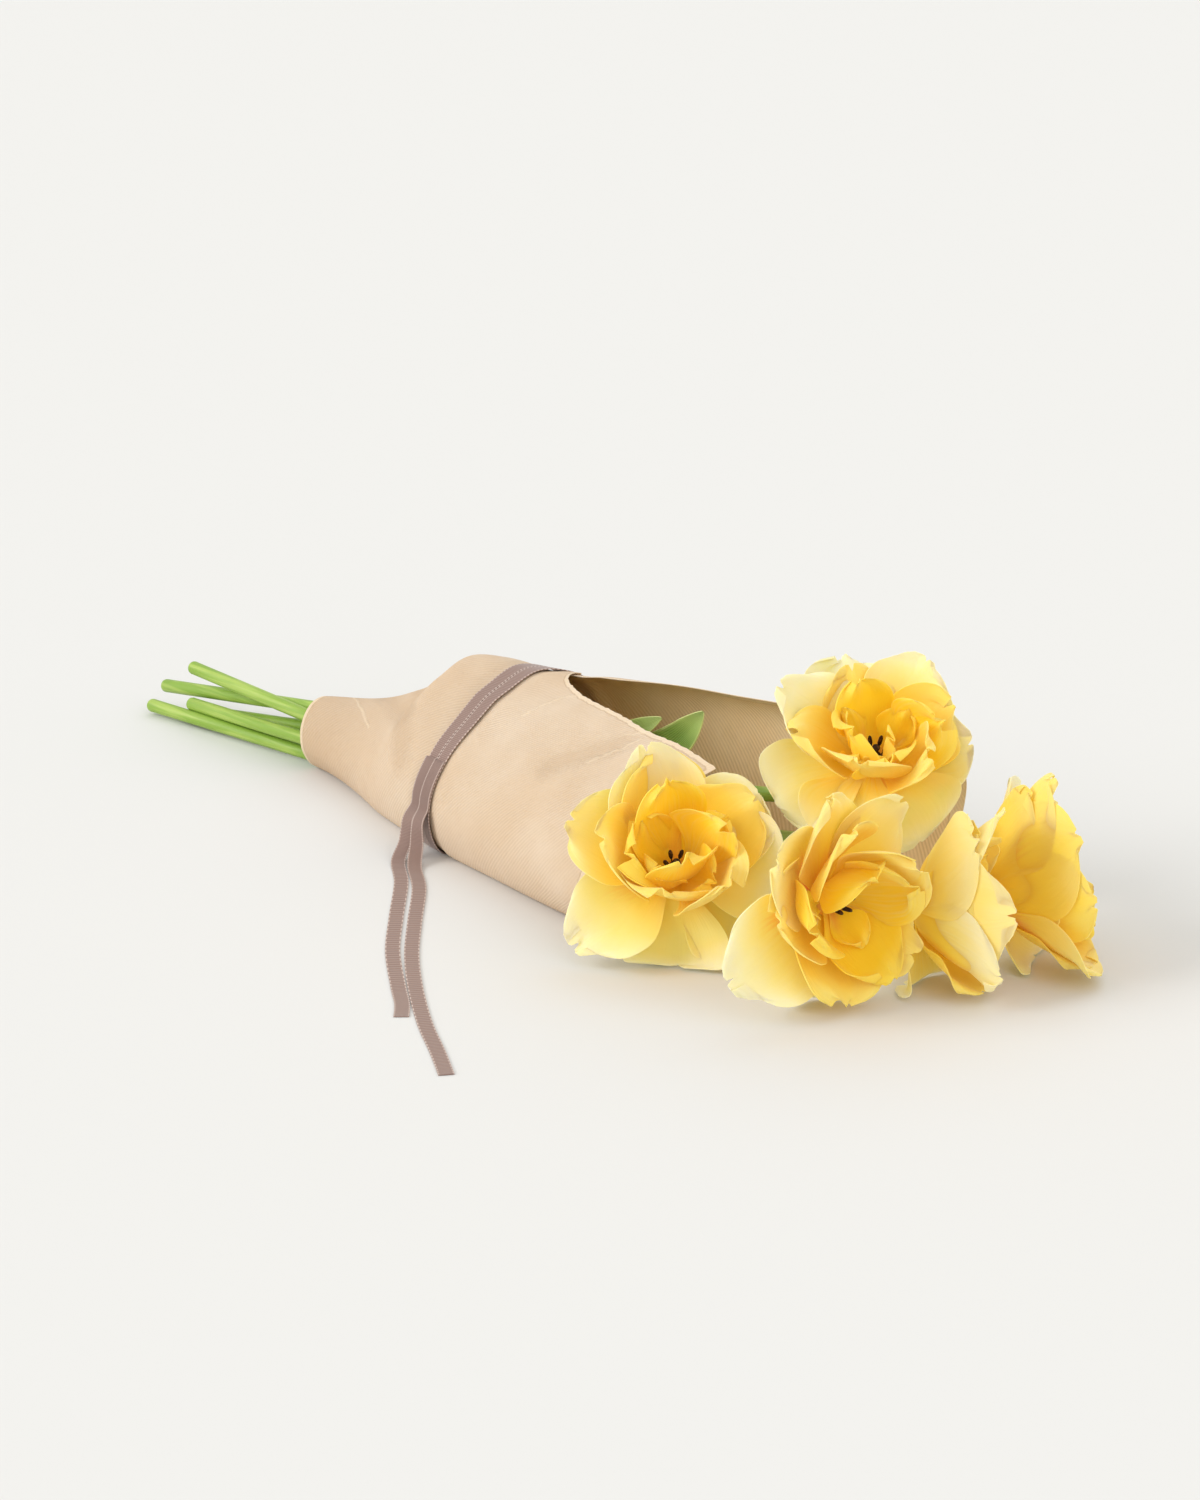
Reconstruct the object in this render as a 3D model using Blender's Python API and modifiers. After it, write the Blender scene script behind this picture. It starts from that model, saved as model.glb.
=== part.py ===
"""A bunch of five double tulips in a paper wrap, tied with a doubled ribbon, lying down.

+X runs along the bunch from the cut stem ends to the blooms, +Z is up, and -Y is the near
side, over which the wrap's front flap is folded. The origin is on the wrap's flat underside.
Lengths are millimetres until to_metres places a shape in the scene.
"""
import math

import bmesh
import bpy
import numpy as np
from mathutils import Vector

MM = 0.001
NECK_X = -230.0            # the wrap's narrow end, where the stems leave it
GAP = 0.3                  # clearance between a heart and the receptacle under it
STEM_GAP = 0.6             # clearance between a receptacle and the stem's end under it

STEM_RADIUS = 3.9
WELD_DISTANCE = 0.00001    # in metres: points nearer than this become one
STEM_SIDES = 2             # bevel resolution, for a tube of eight sides
# A stem's rounded cut end: how far in, and how wide, as shares of its radius.
STEM_ROUNDING = ((0.0, 0.55), (0.25, 0.85), (1.0, 1.0))
STEM_OUTER_STEPS = 3
STEM_INNER_STEPS = 12

PETAL_THICK = 0.9
LEAF_THICK = 0.9
PAPER_THICK = 0.7
RIBBON_THICK = 0.5
RIBBON_WIDTH = 7.6

# Stations along the wrap, measured from its neck: near and far half-width, and height.
WRAP_NEAR = ((0, 16), (60, 29), (100, 43), (150, 57), (200, 66), (284, 79), (365, 80), (420, 78))
WRAP_FAR = ((0, 16), (60, 38), (100, 58), (150, 80), (200, 87), (284, 91), (420, 92))
WRAP_TOP = ((0, 41), (60, 54), (82, 66), (97, 81), (112, 83.5), (128, 82), (150, 82),
            (190, 86), (250, 93.5), (300, 98), (420, 91))

# The wrap's outline round one section, from its far side over the top, down the near side and
# back along the floor: across (1 is the far or near half-width) and up (1 is the height).
SECTION_OPEN = ((1.00, 0.55), (0.88, 0.85), (0.475, 1.00), (0.125, 0.93), (-0.26, 0.80),
                (-0.66, 0.64), (-0.93, 0.43), (-0.98, 0.19), (-0.80, 0.00), (-0.35, 0.00),
                (0.25, 0.00), (0.73, 0.00), (0.96, 0.17))
SECTION_NECK_ANGLES = (0, 40, 75, 105, 130, 155, 175, 200, 230, 255, 285, 315, 340)
SECTION_COUNT = len(SECTION_OPEN)

# Where the sheet starts (the flap's free edge) and ends (the back's top edge) on that outline.
FLAP_EDGE = ((0, -0.7), (60, 0.1), (100, 0.7), (134, 1.2), (153, 1.45), (168, 2.2), (186, 2.6),
             (228, 3.05), (268, 3.4), (304, 3.6), (330, 3.8))
BACK_EDGE = ((0, 15.0), (100, 14.9), (140, 14.8), (160, 14.8), (190, 14.9), (250, 14.3),
             (300, 14.35), (420, 14.1))
# Where the mouth's edge lies along the bunch, from the flap's corner round to the back's corner.
MOUTH_X = ((0, 326), (0.22, 300), (0.34, 303), (0.435, 360), (0.5, 368), (0.6, 373),
           (0.78, 390), (0.87, 398), (1, 410))
WRAP_ROWS = (0, 28, 58, 82, 98, 118, 134, 142, 150, 158, 166, 182)
WRAP_MOUTH_ROWS = 6
WRAP_COLUMNS = 23

NECK_LENGTH = 90.0         # over this the section opens from a round to its full outline
UNDERLAP_DEPTH = 1.6       # the sheet's inner layer lies this far inside its outer one
UNDERLAP_PLACE = (9.5, 2.2)    # where round the section it steps in, and over how much
UNDERLAP_X = (165.0, 20.0)     # where along the bunch it comes out again, and over how much

TIE_X = 150.0              # the middle of the two ribbon strands
TIE_PINCH = 1.5            # how deep the ribbon sinks into the paper
PINCHED_TO = (0.15, 0.5)   # towards this place in the section: across and up
TIE_HALF = 9.0             # half the pinched band
TIE_FADE = 8.0             # how far the pinch takes to fade
TIE_SLANT = 13.0           # on top of the wrap the tie lies this much nearer to the neck
TIE_SLANT_PLACE = 2.0      # the place round the section where it does
TIE_SLANT_SHARP = 1.5      # above 1, only the stretch near that place leans so far
RIBBON_LIFT = 1.4          # the ribbon's middle above the paper's outside
TAIL_CLEAR = 1.3           # between the strands and the loose end that lies over them
TAIL_LIFT = RIBBON_LIFT + RIBBON_THICK + TAIL_CLEAR
RIBBON_STEPS = 38
TAIL_STEPS = 26
STRAND_OFF = 4.05          # from the middle of the tie to the middle of each strand
STRAND_X = (TIE_X - STRAND_OFF, TIE_X + STRAND_OFF)
TAIL_OVER = (5.2, 6.4)     # where round the section a loose end lies over the tie
TAIL_OVER_KNOTS = 5
TAIL_TWIST_STEPS = 3       # it turns flat to the floor over this many of its route's points
FLOOR_LIFT = 0.2           # the loose ends lie this far above the floor
# Each loose end's route off the wrap's near side and along the floor.
TAIL_ROUTES = (
    ((145.9, -63.3, 21), (147, -66.6, 9), (152, -76, 1.5), (175, -94, 0), (210, -128, 0),
     (245, -161, 0), (281, -189, 0), (300, -203, 0), (312, -214, 0)),
    ((154.3, -63.9, 21), (156, -66.4, 9), (164, -75, 1.5), (188, -93, 0), (222, -126, 0),
     (256, -158, 0), (292, -187, 0), (327, -212, 0), (356, -230, 0), (379, -245, 0)),
)

RECEPTACLE_RADIUS = 7.5
RECEPTACLE_HALF_HEIGHT = 4.5
HEART_FOOT = (3.8, 3.4)    # radius of the heart's foot, low and high
HEART_FOOT_HEIGHT = 2.5
PISTIL = (1.5, 1.9)        # radius of the pistil, low and high
PISTIL_HEIGHT = 11.0
STAMEN = (0.6, 1.2)        # radius of a stamen, low and high
STAMEN_HEIGHT = 13.0
STAMEN_COUNT = 6
STAMEN_RING = (2.5, 6.2)   # how far the stamens stand from the axis, at their feet and tips
ROD_SUNK = 1.0             # the pistil and the stamens start this deep in the heart's foot

FLOOR_POINT = (0, 0, 0.4)  # petals stay above this level
WALL_MARGIN = 11.0         # a petal starts to bend this far from the floor or the paper
NEIGHBOUR_MARGIN = 15.0    # and this far from the middle between two heads
PROFILE_STEPS = 40         # steps along a petal's middle line
FLARE_START = 0.7          # the share of its length past which a petal's tip flares out
STEM_SQUARE = 20.0         # a stem runs square to its receptacle for this long


class Whorl:
    """One whorl of petals: its size, how far it leans from the axis, and how it is ruffled."""

    def __init__(self, length, width, lean, tip_lean, curl, cup, root, root_radius, tilt, keep,
                 roll, spread, pleat, flare, grid, turn=0, count=5):
        self.length = length
        self.width = width
        self.lean = lean                # degrees from the axis, at the root and at the tip
        self.tip_lean = tip_lean
        self.curl = curl                # how soon the lean changes between the two
        self.cup = cup                  # radius of the bend across the petal
        self.root = root                # where it grows from the receptacle
        self.root_radius = root_radius
        self.tilt = tilt                # one side edge lies over the next petal's
        self.keep = keep                # how near it comes to what it is bent clear of
        self.roll = roll                # how far one side edge rolls in, or out if negative
        self.spread = spread            # how far its petals differ in lean
        self.pleat = pleat              # depth of its lengthwise folds
        self.flare = flare              # degrees that its tips turn out again
        self.grid = grid                # columns and rows of a petal's mesh
        self.turn = turn
        self.count = count


OUTER = Whorl(length=64, width=56, lean=74, tip_lean=110, curl=1.2, cup=44, root=0.0,
              root_radius=3.0, tilt=0.10, keep=0.9, roll=-5.0, spread=4, pleat=1.2, flare=0,
              grid=(3, 3))
MIDDLE = Whorl(length=53, width=52, lean=84, tip_lean=20, curl=0.62, cup=34, root=1.2,
               root_radius=3.6, tilt=0.16, keep=2.6, roll=-8.0, spread=10, pleat=2.0, flare=24,
               grid=(2, 3), turn=30)
INNER = Whorl(length=46, width=44, lean=70, tip_lean=6, curl=0.62, cup=28, root=2.4,
              root_radius=4.4, tilt=0.24, keep=4.4, roll=-6.0, spread=11, pleat=2.4, flare=16,
              grid=(2, 3), turn=12, count=4)


class Head:
    """Where a head sits and faces, its outer petals, and what it and its stem keep to."""

    def __init__(self, centre, face, outer, end, neck, bends, walls=(), depth=22, scale=1.0,
                 golden=1.0, nod=(0, 90)):
        self.centre = centre
        self.face = face
        self.outer = outer      # each outer petal's turn, lean and tip lean, in degrees
        self.walls = walls      # planes of the paper: a point, and the way out through it
        self.depth = depth      # from the receptacle to the middle of the head
        self.scale = scale      # size of the whole head
        self.golden = golden    # size of its inner petals
        self.nod = nod          # how much further they lean on one side, and which side
        self.end = end          # the stem's cut end, then where it runs through the neck
        self.neck = neck
        self.bends = bends      # where the stem bends: past the neck, and under the head


HEADS = (
    Head((353, -68, 55), (0.60, -0.50, 0.62), golden=1.06, nod=(14, 90),
         outer=((352, 76, 82), (42, 78, 82), (104, 72, 48), (160, 70, 74), (218, 80, 108),
                (262, 84, 126), (310, 84, 124)),
         walls=(((306, -66, 60), (-1, 0, 0)), ((350, -27, 35), (0.1, 0.9, -0.45))),
         end=(-115, -2.5, 33.4), neck=(0, -4, 28.5), bends=((130, -26, 38), (312, -36, 20))),
    Head((391, 35, 101), (0.50, -0.43, 0.74), golden=0.90, nod=(14, 80),
         outer=((4, 84, 92), (50, 76, 66), (96, 88, 88), (140, 68, 60), (200, 84, 104),
                (240, 80, 92), (300, 86, 108)),
         walls=(((340, 70, 87), (-0.06, 1, -0.25)),),
         end=(-149, 3, 13), neck=(0, 4.5, 32.4), bends=((130, 16, 52), (330, 44, 24))),
    Head((475, 61, 43), (0.78, 0.52, 0.34), depth=26, scale=1.1, golden=1.02, nod=(6, 80),
         outer=((24, 72, 76), (96, 56, 34), (140, 58, 30), (186, 52, 20), (228, 58, 36),
                (270, 80, 110)),
         walls=(((414, 76, 40), (-1, 0, 0)),),
         end=(-144, -12, 5.5), neck=(0, -1.5, 5.4), bends=((140, 8, 7), (400, 42, 10))),
    Head((452, -49, 54), (0.94, -0.06, 0.24), golden=1.06, nod=(14, 215),
         outer=((100, 66, 44), (142, 72, 60), (200, 84, 110), (262, 86, 122), (318, 80, 92),
                (40, 72, 48)),
         end=(-114, -5.5, 11.8), neck=(0, -6.5, 16), bends=((140, -12, 16), (402, 4, 14))),
    Head((475, 13, 40), (0.88, 0.40, 0.16), depth=30, scale=1.06, golden=1.04, nod=(6, 100),
         outer=((126, 62, 34), (168, 48, 18), (210, 50, 26), (258, 80, 116), (20, 74, 80),
                (88, 54, 30)),
         walls=(((440, 41, 30), (0.1, 1, -0.2)),),
         end=(-118, 0.5, 5.0), neck=(0, 5, 20), bends=((130, 12, 26), (400, 20, 25))),
)
# Which way the wall between two heads faces, where it isn't the way from one to the other.
DIVIDES = {(3, 4): (-0.30, 0.92, -0.29), (4, 2): (-0.13, 0.96, -0.26)}


def curve_value(position, stations):
    """A smooth value at a position, through hand-set stations of (position, value)."""
    xs = np.array([station[0] for station in stations], dtype=float)
    ys = np.array([station[1] for station in stations], dtype=float)
    slopes = np.gradient(ys, xs)
    position = np.clip(np.asarray(position, dtype=float), xs[0], xs[-1])
    index = np.clip(np.searchsorted(xs, position) - 1, 0, len(xs) - 2)
    span = xs[index + 1] - xs[index]
    part = (position - xs[index]) / span
    rise = part * part * (3 - 2 * part)
    start_pull = part * (1 - part) ** 2
    end_pull = part * part * (part - 1)
    pull = start_pull * slopes[index] + end_pull * slopes[index + 1]
    return ys[index] * (1 - rise) + ys[index + 1] * rise + pull * span


def smooth_step(value):
    value = np.clip(value, 0.0, 1.0)
    return value * value * (3 - 2 * value)


def closed_outline(points, place):
    """Points of a closed smooth curve through the outline's points, by their index."""
    table = np.array(points, dtype=float)
    count = len(table)
    index = np.floor(place).astype(int)
    part = (place - index)[..., None]
    before = table[(index - 1) % count]
    start = table[index % count]
    end = table[(index + 1) % count]
    after = table[(index + 2) % count]
    bend = 2 * before - 5 * start + 4 * end - after
    twist = 3 * start - before - 3 * end + after
    return 0.5 * (2 * start + (end - before) * part + bend * part ** 2 + twist * part ** 3)


def wrap_outline(x, place):
    """The wrap's middle surface at a station x, at a place round its section."""
    open_points = closed_outline(SECTION_OPEN, place)
    angles = np.radians(SECTION_NECK_ANGLES)
    round_points = closed_outline(np.stack((np.cos(angles), 0.5 + 0.5 * np.sin(angles)), -1), place)
    opening = smooth_step(np.asarray(x) / NECK_LENGTH)[..., None]
    unit = round_points * (1 - opening) + open_points * opening
    across = np.where(unit[..., 0] < 0, curve_value(x, WRAP_NEAR), curve_value(x, WRAP_FAR))
    y = unit[..., 0] * across
    z = unit[..., 1] * curve_value(x, WRAP_TOP)
    return np.stack((y, z), -1)


def section_middle(x):
    """The point inside a section that it is pinched towards."""
    across, up = PINCHED_TO
    return np.stack((across * curve_value(x, WRAP_FAR), up * curve_value(x, WRAP_TOP)), -1)


def tie_slant(place):
    """How far the tie lies nearer to the neck than TIE_X, at a place round the section."""
    turn = 2 * math.pi * (place - TIE_SLANT_PLACE) / SECTION_COUNT
    return TIE_SLANT * (0.5 + 0.5 * np.cos(turn)) ** TIE_SLANT_SHARP


def pinch_depth(x, place):
    """How deep the ribbon sinks into the paper, at a station x and a place round the section."""
    away = np.abs(x + tie_slant(place) - TIE_X)
    return TIE_PINCH * (1 - smooth_step((away - TIE_HALF) / TIE_FADE))


def underlap_depth(x, round_it):
    """How far inside itself the sheet lies, counted round the section from its flap."""
    first, rise = UNDERLAP_PLACE
    last, fade = UNDERLAP_X
    depth = UNDERLAP_DEPTH * smooth_step((round_it - first) / rise)
    return depth * (1 - smooth_step((x - last) / fade))


def wrap_point(row, turn):
    """A point of the paper: row runs from neck (0) to mouth (1), turn from flap to back edge."""
    straight = WRAP_ROWS[-1]
    share = len(WRAP_ROWS) - 1
    total = share + WRAP_MOUTH_ROWS
    step = row * total
    closed_x = np.interp(step, np.arange(share + 1), WRAP_ROWS)
    mouth_part = np.clip((step - share) / WRAP_MOUTH_ROWS, 0, 1)
    x = closed_x + mouth_part * (curve_value(turn, MOUTH_X) - straight)
    start = curve_value(x, FLAP_EDGE)
    end = curve_value(x, BACK_EDGE)
    place = start + turn * (end - start)
    section = wrap_outline(x, place)
    middle = section_middle(x)
    outward = section - middle
    radius = np.linalg.norm(outward, axis=-1, keepdims=True)
    pinch = pinch_depth(x, place)
    inset = pinch + underlap_depth(x, place - start)
    section = middle + outward * (1 - inset[..., None] / radius)
    z = np.maximum(section[..., 1], PAPER_THICK / 2 + pinch)
    return np.stack((x, section[..., 0], z), -1)


def to_metres(point):
    """From bunch millimetres, measured from the neck, to the scene's metres."""
    return Vector(((point[0] + NECK_X) * MM, point[1] * MM, point[2] * MM))


def material(name, colour, roughness):
    made = bpy.data.materials.new(name)
    made.use_nodes = True
    shader = made.node_tree.nodes["Principled BSDF"]
    shader.inputs["Base Color"].default_value = (*colour, 1.0)
    shader.inputs["Roughness"].default_value = roughness
    shader.inputs["Metallic"].default_value = 0.0
    return made


def new_object(name, mesh, collection):
    made = bpy.data.objects.new(name, mesh)
    collection.objects.link(made)
    return made


def sheet_object(name, columns, rows, surface, thickness, collection):
    """A thin piece: a grid bent by the surface function, cut into triangles and thickened."""
    shape = bmesh.new()
    bmesh.ops.create_grid(shape, x_segments=columns, y_segments=rows, size=1.0)
    across = np.array([vertex.co.x for vertex in shape.verts])
    along = np.array([vertex.co.y for vertex in shape.verts])
    points = surface(across, (along + 1) / 2)
    for vertex, point in zip(shape.verts, points):
        vertex.co = to_metres(point)
    bmesh.ops.triangulate(shape, faces=shape.faces, quad_method="FIXED")
    mesh = bpy.data.meshes.new(name)
    shape.to_mesh(mesh)
    shape.free()
    made = new_object(name, mesh, collection)
    thicken = made.modifiers.new("Thickness", "SOLIDIFY")
    thicken.thickness = thickness * MM
    thicken.offset = 0.0
    return made


def apply_modifiers(made):
    """Give the object its evaluated mesh, and take its modifiers away."""
    bpy.context.view_layer.update()
    graph = bpy.context.evaluated_depsgraph_get()
    mesh = bpy.data.meshes.new_from_object(made.evaluated_get(graph))
    made.modifiers.clear()
    made.data = mesh


def keep_largest_body(mesh):
    """Drop loose scraps and fill sealed hollows: only the largest closed skin stays."""
    shape = bmesh.new()
    shape.from_mesh(mesh)
    waiting = set(shape.verts)
    bodies = []
    while waiting:
        body = set()
        front = [waiting.pop()]
        while front:
            vertex = front.pop()
            body.add(vertex)
            for edge in vertex.link_edges:
                other = edge.other_vert(vertex)
                if other in waiting:
                    waiting.remove(other)
                    front.append(other)
        bodies.append(body)
    bodies.sort(key=len, reverse=True)
    for body in bodies[1:]:
        bmesh.ops.delete(shape, geom=list(body), context="VERTS")
    shape.to_mesh(mesh)
    shape.free()


def fuse(base, pieces, collection):
    """Union every piece in the collection into the base, then remove the pieces."""
    for piece in pieces:
        apply_modifiers(piece)
    union = base.modifiers.new("Union", "BOOLEAN")
    union.operation = "UNION"
    union.operand_type = "COLLECTION"
    union.collection = collection
    union.solver = "MANIFOLD"
    apply_modifiers(base)
    keep_largest_body(base.data)
    for piece in pieces:
        bpy.data.objects.remove(piece)


class Petal:
    """One petal's own length, lean and ruffle, drawn from its flower's random numbers."""

    def __init__(self, whorl, turn, lean, tip_lean, draws, size=1.0):
        self.whorl = whorl
        self.azimuth = math.radians(turn + draws.uniform(-6, 6))
        self.length = size * whorl.length * draws.uniform(0.93, 1.06)
        self.half_width = 0.5 * size * whorl.width * draws.uniform(0.92, 1.08)
        self.lean = math.radians(lean + whorl.spread * draws.uniform(-1, 1))
        self.tip_lean = math.radians(tip_lean + 2 * whorl.spread * draws.uniform(-1, 1))
        self.tilt = whorl.tilt * draws.uniform(0.8, 1.2)
        self.wave = draws.uniform(1.5, 3.0)
        self.phase = draws.uniform(0, 2 * math.pi)
        self.notch = draws.uniform(0, 2 * math.pi)
        self.roll = whorl.roll * draws.uniform(0.2, 1.0)
        self.rolled_side = 1 if draws.random() < 0.5 else -1

    def profile(self):
        """The petal's middle line: its lean, and how far out and up it is, at equal steps."""
        steps = np.linspace(0, 1, PROFILE_STEPS + 1)
        leans = self.lean + (self.tip_lean - self.lean) * steps ** self.whorl.curl
        flare = smooth_step((steps - FLARE_START) / (1 - FLARE_START))
        leans = leans + math.radians(self.whorl.flare) * flare
        middles = 0.5 * (leans[1:] + leans[:-1])
        step = self.length / PROFILE_STEPS
        radii = np.concatenate(((0,), np.cumsum(np.sin(middles)))) * step
        heights = np.concatenate(((0,), np.cumsum(np.cos(middles)))) * step
        return steps, leans, self.whorl.root_radius + radii, self.whorl.root + heights

    def inward(self, side, across, along):
        """How far the petal stands in from its middle line: cup, overlap and ruffles."""
        cup = self.whorl.cup
        inward = cup * (1 - np.cos(side / cup)) + self.tilt * side * smooth_step(along * 3)
        ruffle = np.sin(1.5 * math.pi * along + self.phase + 1.4 * np.sign(across))
        inward = inward + self.wave * along * np.abs(across) ** 1.5 * ruffle
        inward = inward + self.roll * along * np.maximum(across * self.rolled_side, 0) ** 2.2
        return inward + self.whorl.pleat * np.cos(5.2 * across + self.phase) * along ** 1.4

    def local_point(self, across, along):
        """A point of the petal in its flower's frame, whose Z is the axis."""
        steps, leans, radii, heights = self.profile()
        lobes = across ** 2 + 0.6 * np.sin(6.2 * across + self.notch)
        reach = along * (1 - 0.07 * along * lobes)
        lean = np.interp(reach, steps, leans)
        swell = 0.16 + 0.84 * smooth_step(along / 0.6 + 0.04)
        tip = np.sqrt(1 - 0.96 * np.clip((along - 0.55) / 0.45, 0, 1) ** 2.4)
        side = across * self.half_width * swell * tip
        sideways = self.whorl.cup * np.sin(side / self.whorl.cup)
        inward = self.inward(side, across, along)
        radius = np.interp(reach, steps, radii) - inward * np.cos(lean)
        height = np.interp(reach, steps, heights) + inward * np.sin(lean)
        x = radius * math.cos(self.azimuth) - sideways * math.sin(self.azimuth)
        y = radius * math.sin(self.azimuth) + sideways * math.cos(self.azimuth)
        return np.stack((x, y, height), -1)


class Flower:
    """One head in its place, and the planes that its petals are bent clear of."""

    def __init__(self, index):
        self.index = index
        self.head = HEADS[index]
        self.centre = np.array(self.head.centre, dtype=float)
        self.axis = np.array(self.head.face, dtype=float)
        self.axis /= np.linalg.norm(self.axis)
        self.base = self.centre - self.axis * self.head.depth
        level = np.cross((0.0, 0.0, 1.0), self.axis)
        level /= np.linalg.norm(level)
        self.frame = np.stack((level, np.cross(self.axis, level), self.axis), -1)
        self.planes = []

    def keep_behind(self, point, normal, margin):
        """Petals stay on the side of the plane that the normal points away from."""
        normal = np.array(normal, dtype=float)
        self.planes.append((np.array(point, dtype=float), normal / np.linalg.norm(normal), margin))

    def place(self, local, keep):
        """From the flower's frame to the bunch, bent clear of its neighbours."""
        points = self.base + self.head.scale * local @ self.frame.T
        for point, normal, margin in self.planes:
            room = margin - keep
            past = np.maximum((points - point) @ normal + margin, 0)
            eased = room * (1 - np.exp(-past / room))
            points = points + (eased - past)[:, None] * normal
        return points

    def petals(self):
        draws = np.random.default_rng(40 + self.index)
        made = [Petal(OUTER, *way, draws) for way in self.head.outer]
        amount, way = self.head.nod
        for whorl in (MIDDLE, INNER):
            for place in range(whorl.count):
                turn = whorl.turn + 360.0 * place / whorl.count
                nod = amount * math.cos(math.radians(turn - way))
                made.append(Petal(whorl, turn, whorl.lean + nod, whorl.tip_lean + 1.5 * nod,
                                  draws, self.head.golden))
        return made


def flowers():
    """The five heads, each kept to its own room."""
    made = [Flower(index) for index in range(len(HEADS))]
    for here in made:
        for there in made:
            if there is here:
                continue
            normal = there.centre - here.centre
            if (here.index, there.index) in DIVIDES:
                normal = DIVIDES[here.index, there.index]
            elif (there.index, here.index) in DIVIDES:
                normal = -np.array(DIVIDES[there.index, here.index])
            here.keep_behind(0.5 * (here.centre + there.centre), normal, NEIGHBOUR_MARGIN)
        here.keep_behind(FLOOR_POINT, (0, 0, -1), WALL_MARGIN)
        for point, normal in here.head.walls:
            here.keep_behind(point, normal, WALL_MARGIN)
    return made


def bloom(flower, colour, collection, scratch):
    """A head: petals in three whorls, fused to the receptacle that they grow from."""
    shape = bmesh.new()
    bmesh.ops.create_uvsphere(shape, u_segments=8, v_segments=5, radius=1.0)
    for vertex in shape.verts:
        local = np.array(vertex.co) * (RECEPTACLE_RADIUS, RECEPTACLE_RADIUS, RECEPTACLE_HALF_HEIGHT)
        vertex.co = to_metres(flower.base + flower.frame @ local)
    mesh = bpy.data.meshes.new("bloom_%d" % (flower.index + 1))
    shape.to_mesh(mesh)
    shape.free()
    knob = new_object(mesh.name, mesh, collection)
    mesh.materials.append(colour)
    pieces = []
    for petal in flower.petals():

        def surface(across, along, petal=petal):
            return flower.place(petal.local_point(across, along), petal.whorl.keep)

        pieces.append(sheet_object("petal", *petal.whorl.grid, surface, PETAL_THICK, scratch))
    fuse(knob, pieces, scratch)


def bezier(points, share):
    """A point on the curve that a few control points pull."""
    points = [np.array(point, dtype=float) for point in points]
    while len(points) > 1:
        points = [start + (end - start) * share for start, end in zip(points, points[1:])]
    return points[0]


def stem_route(flower):
    """A stem's middle line, from its cut end through the neck to under its receptacle."""
    end = np.array(flower.head.end, dtype=float)
    neck = np.array(flower.head.neck, dtype=float)
    before, under = flower.head.bends
    top = flower.base - flower.axis * (RECEPTACLE_HALF_HEIGHT + STEM_GAP)
    square = top - flower.axis * STEM_SQUARE
    outer = [bezier((end, neck), step / STEM_OUTER_STEPS) for step in range(STEM_OUTER_STEPS)]
    pulls = (neck, before, under, square, top)
    inner = [bezier(pulls, step / STEM_INNER_STEPS) for step in range(STEM_INNER_STEPS + 1)]
    return outer + inner


def welded_mesh(made):
    """A curve's closed mesh, with its loose caps joined on."""
    bpy.context.view_layer.update()
    graph = bpy.context.evaluated_depsgraph_get()
    mesh = bpy.data.meshes.new_from_object(made.evaluated_get(graph))
    shape = bmesh.new()
    shape.from_mesh(mesh)
    bmesh.ops.remove_doubles(shape, verts=shape.verts, dist=WELD_DISTANCE)
    bmesh.ops.recalc_face_normals(shape, faces=shape.faces)
    shape.to_mesh(mesh)
    shape.free()
    return mesh


def tube_object(name, route, radius, collection):
    """A solid tube along a route, with its first end rounded off."""
    curve = bpy.data.curves.new(name, "CURVE")
    curve.dimensions = "3D"
    curve.bevel_depth = radius * MM
    curve.bevel_resolution = STEM_SIDES
    curve.use_fill_caps = True
    line = curve.splines.new("POLY")
    points = [np.array(point, dtype=float) for point in route]
    heading = (points[1] - points[0]) / np.linalg.norm(points[1] - points[0])
    points[1:1] = [points[0] + heading * share * radius for share, _ in STEM_ROUNDING[1:]]
    radii = [share for _, share in STEM_ROUNDING] + [1.0] * (len(points) - len(STEM_ROUNDING))
    line.points.add(len(points) - 1)
    for spot, point, share in zip(line.points, points, radii):
        spot.co = (*to_metres(point), 1.0)
        spot.radius = share
    guide = new_object(name, curve, collection)
    mesh = welded_mesh(guide)
    mesh.name = name
    bpy.data.objects.remove(guide)
    return new_object(name, mesh, collection)


LEAF_GRID = (2, 7)
LEAF_FOOT = 0.22           # a leaf's width at its foot, as a share of its full width
LEAF_BELLY = 0.85          # below 1, its widest place is nearer to its foot
LEAF_TAPER = 0.94          # short of 1, its tip stays a little blunt
LEAF_FOLD = 0.35           # how far its edges stand up from its middle


class Leaf:
    """A leaf: which stem it grows from and where, its tip, its width and which way it faces."""

    def __init__(self, stem, start, pull, tip, width, faces):
        self.stem = stem
        self.start = start
        self.pull = pull
        self.tip = np.array(tip, dtype=float)
        self.width = width
        self.faces = np.array(faces, dtype=float)

    def surface(self, route, across, along):
        """Points of the blade: a narrow foot in the stem, then a folded, pointed blade."""
        foot = route[self.start]
        heading = route[self.start + 1] - foot
        pull = foot + heading / np.linalg.norm(heading) * self.pull
        points = []
        for side, share in zip(across, along):
            middle = bezier((foot, pull, self.tip), share)
            ahead = bezier((foot, pull, self.tip), share + 0.01) - middle
            ahead /= np.linalg.norm(ahead)
            sideways = np.cross(self.faces, ahead)
            sideways /= np.linalg.norm(sideways)
            face = np.cross(ahead, sideways)
            bulge = math.sin(math.pi * LEAF_TAPER * share ** LEAF_BELLY)
            half = 0.5 * self.width * (LEAF_FOOT + (1 - LEAF_FOOT) * bulge)
            fold = LEAF_FOLD * half * abs(side) ** 1.5
            points.append(middle + sideways * half * side + face * fold)
        return np.array(points)


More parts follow.
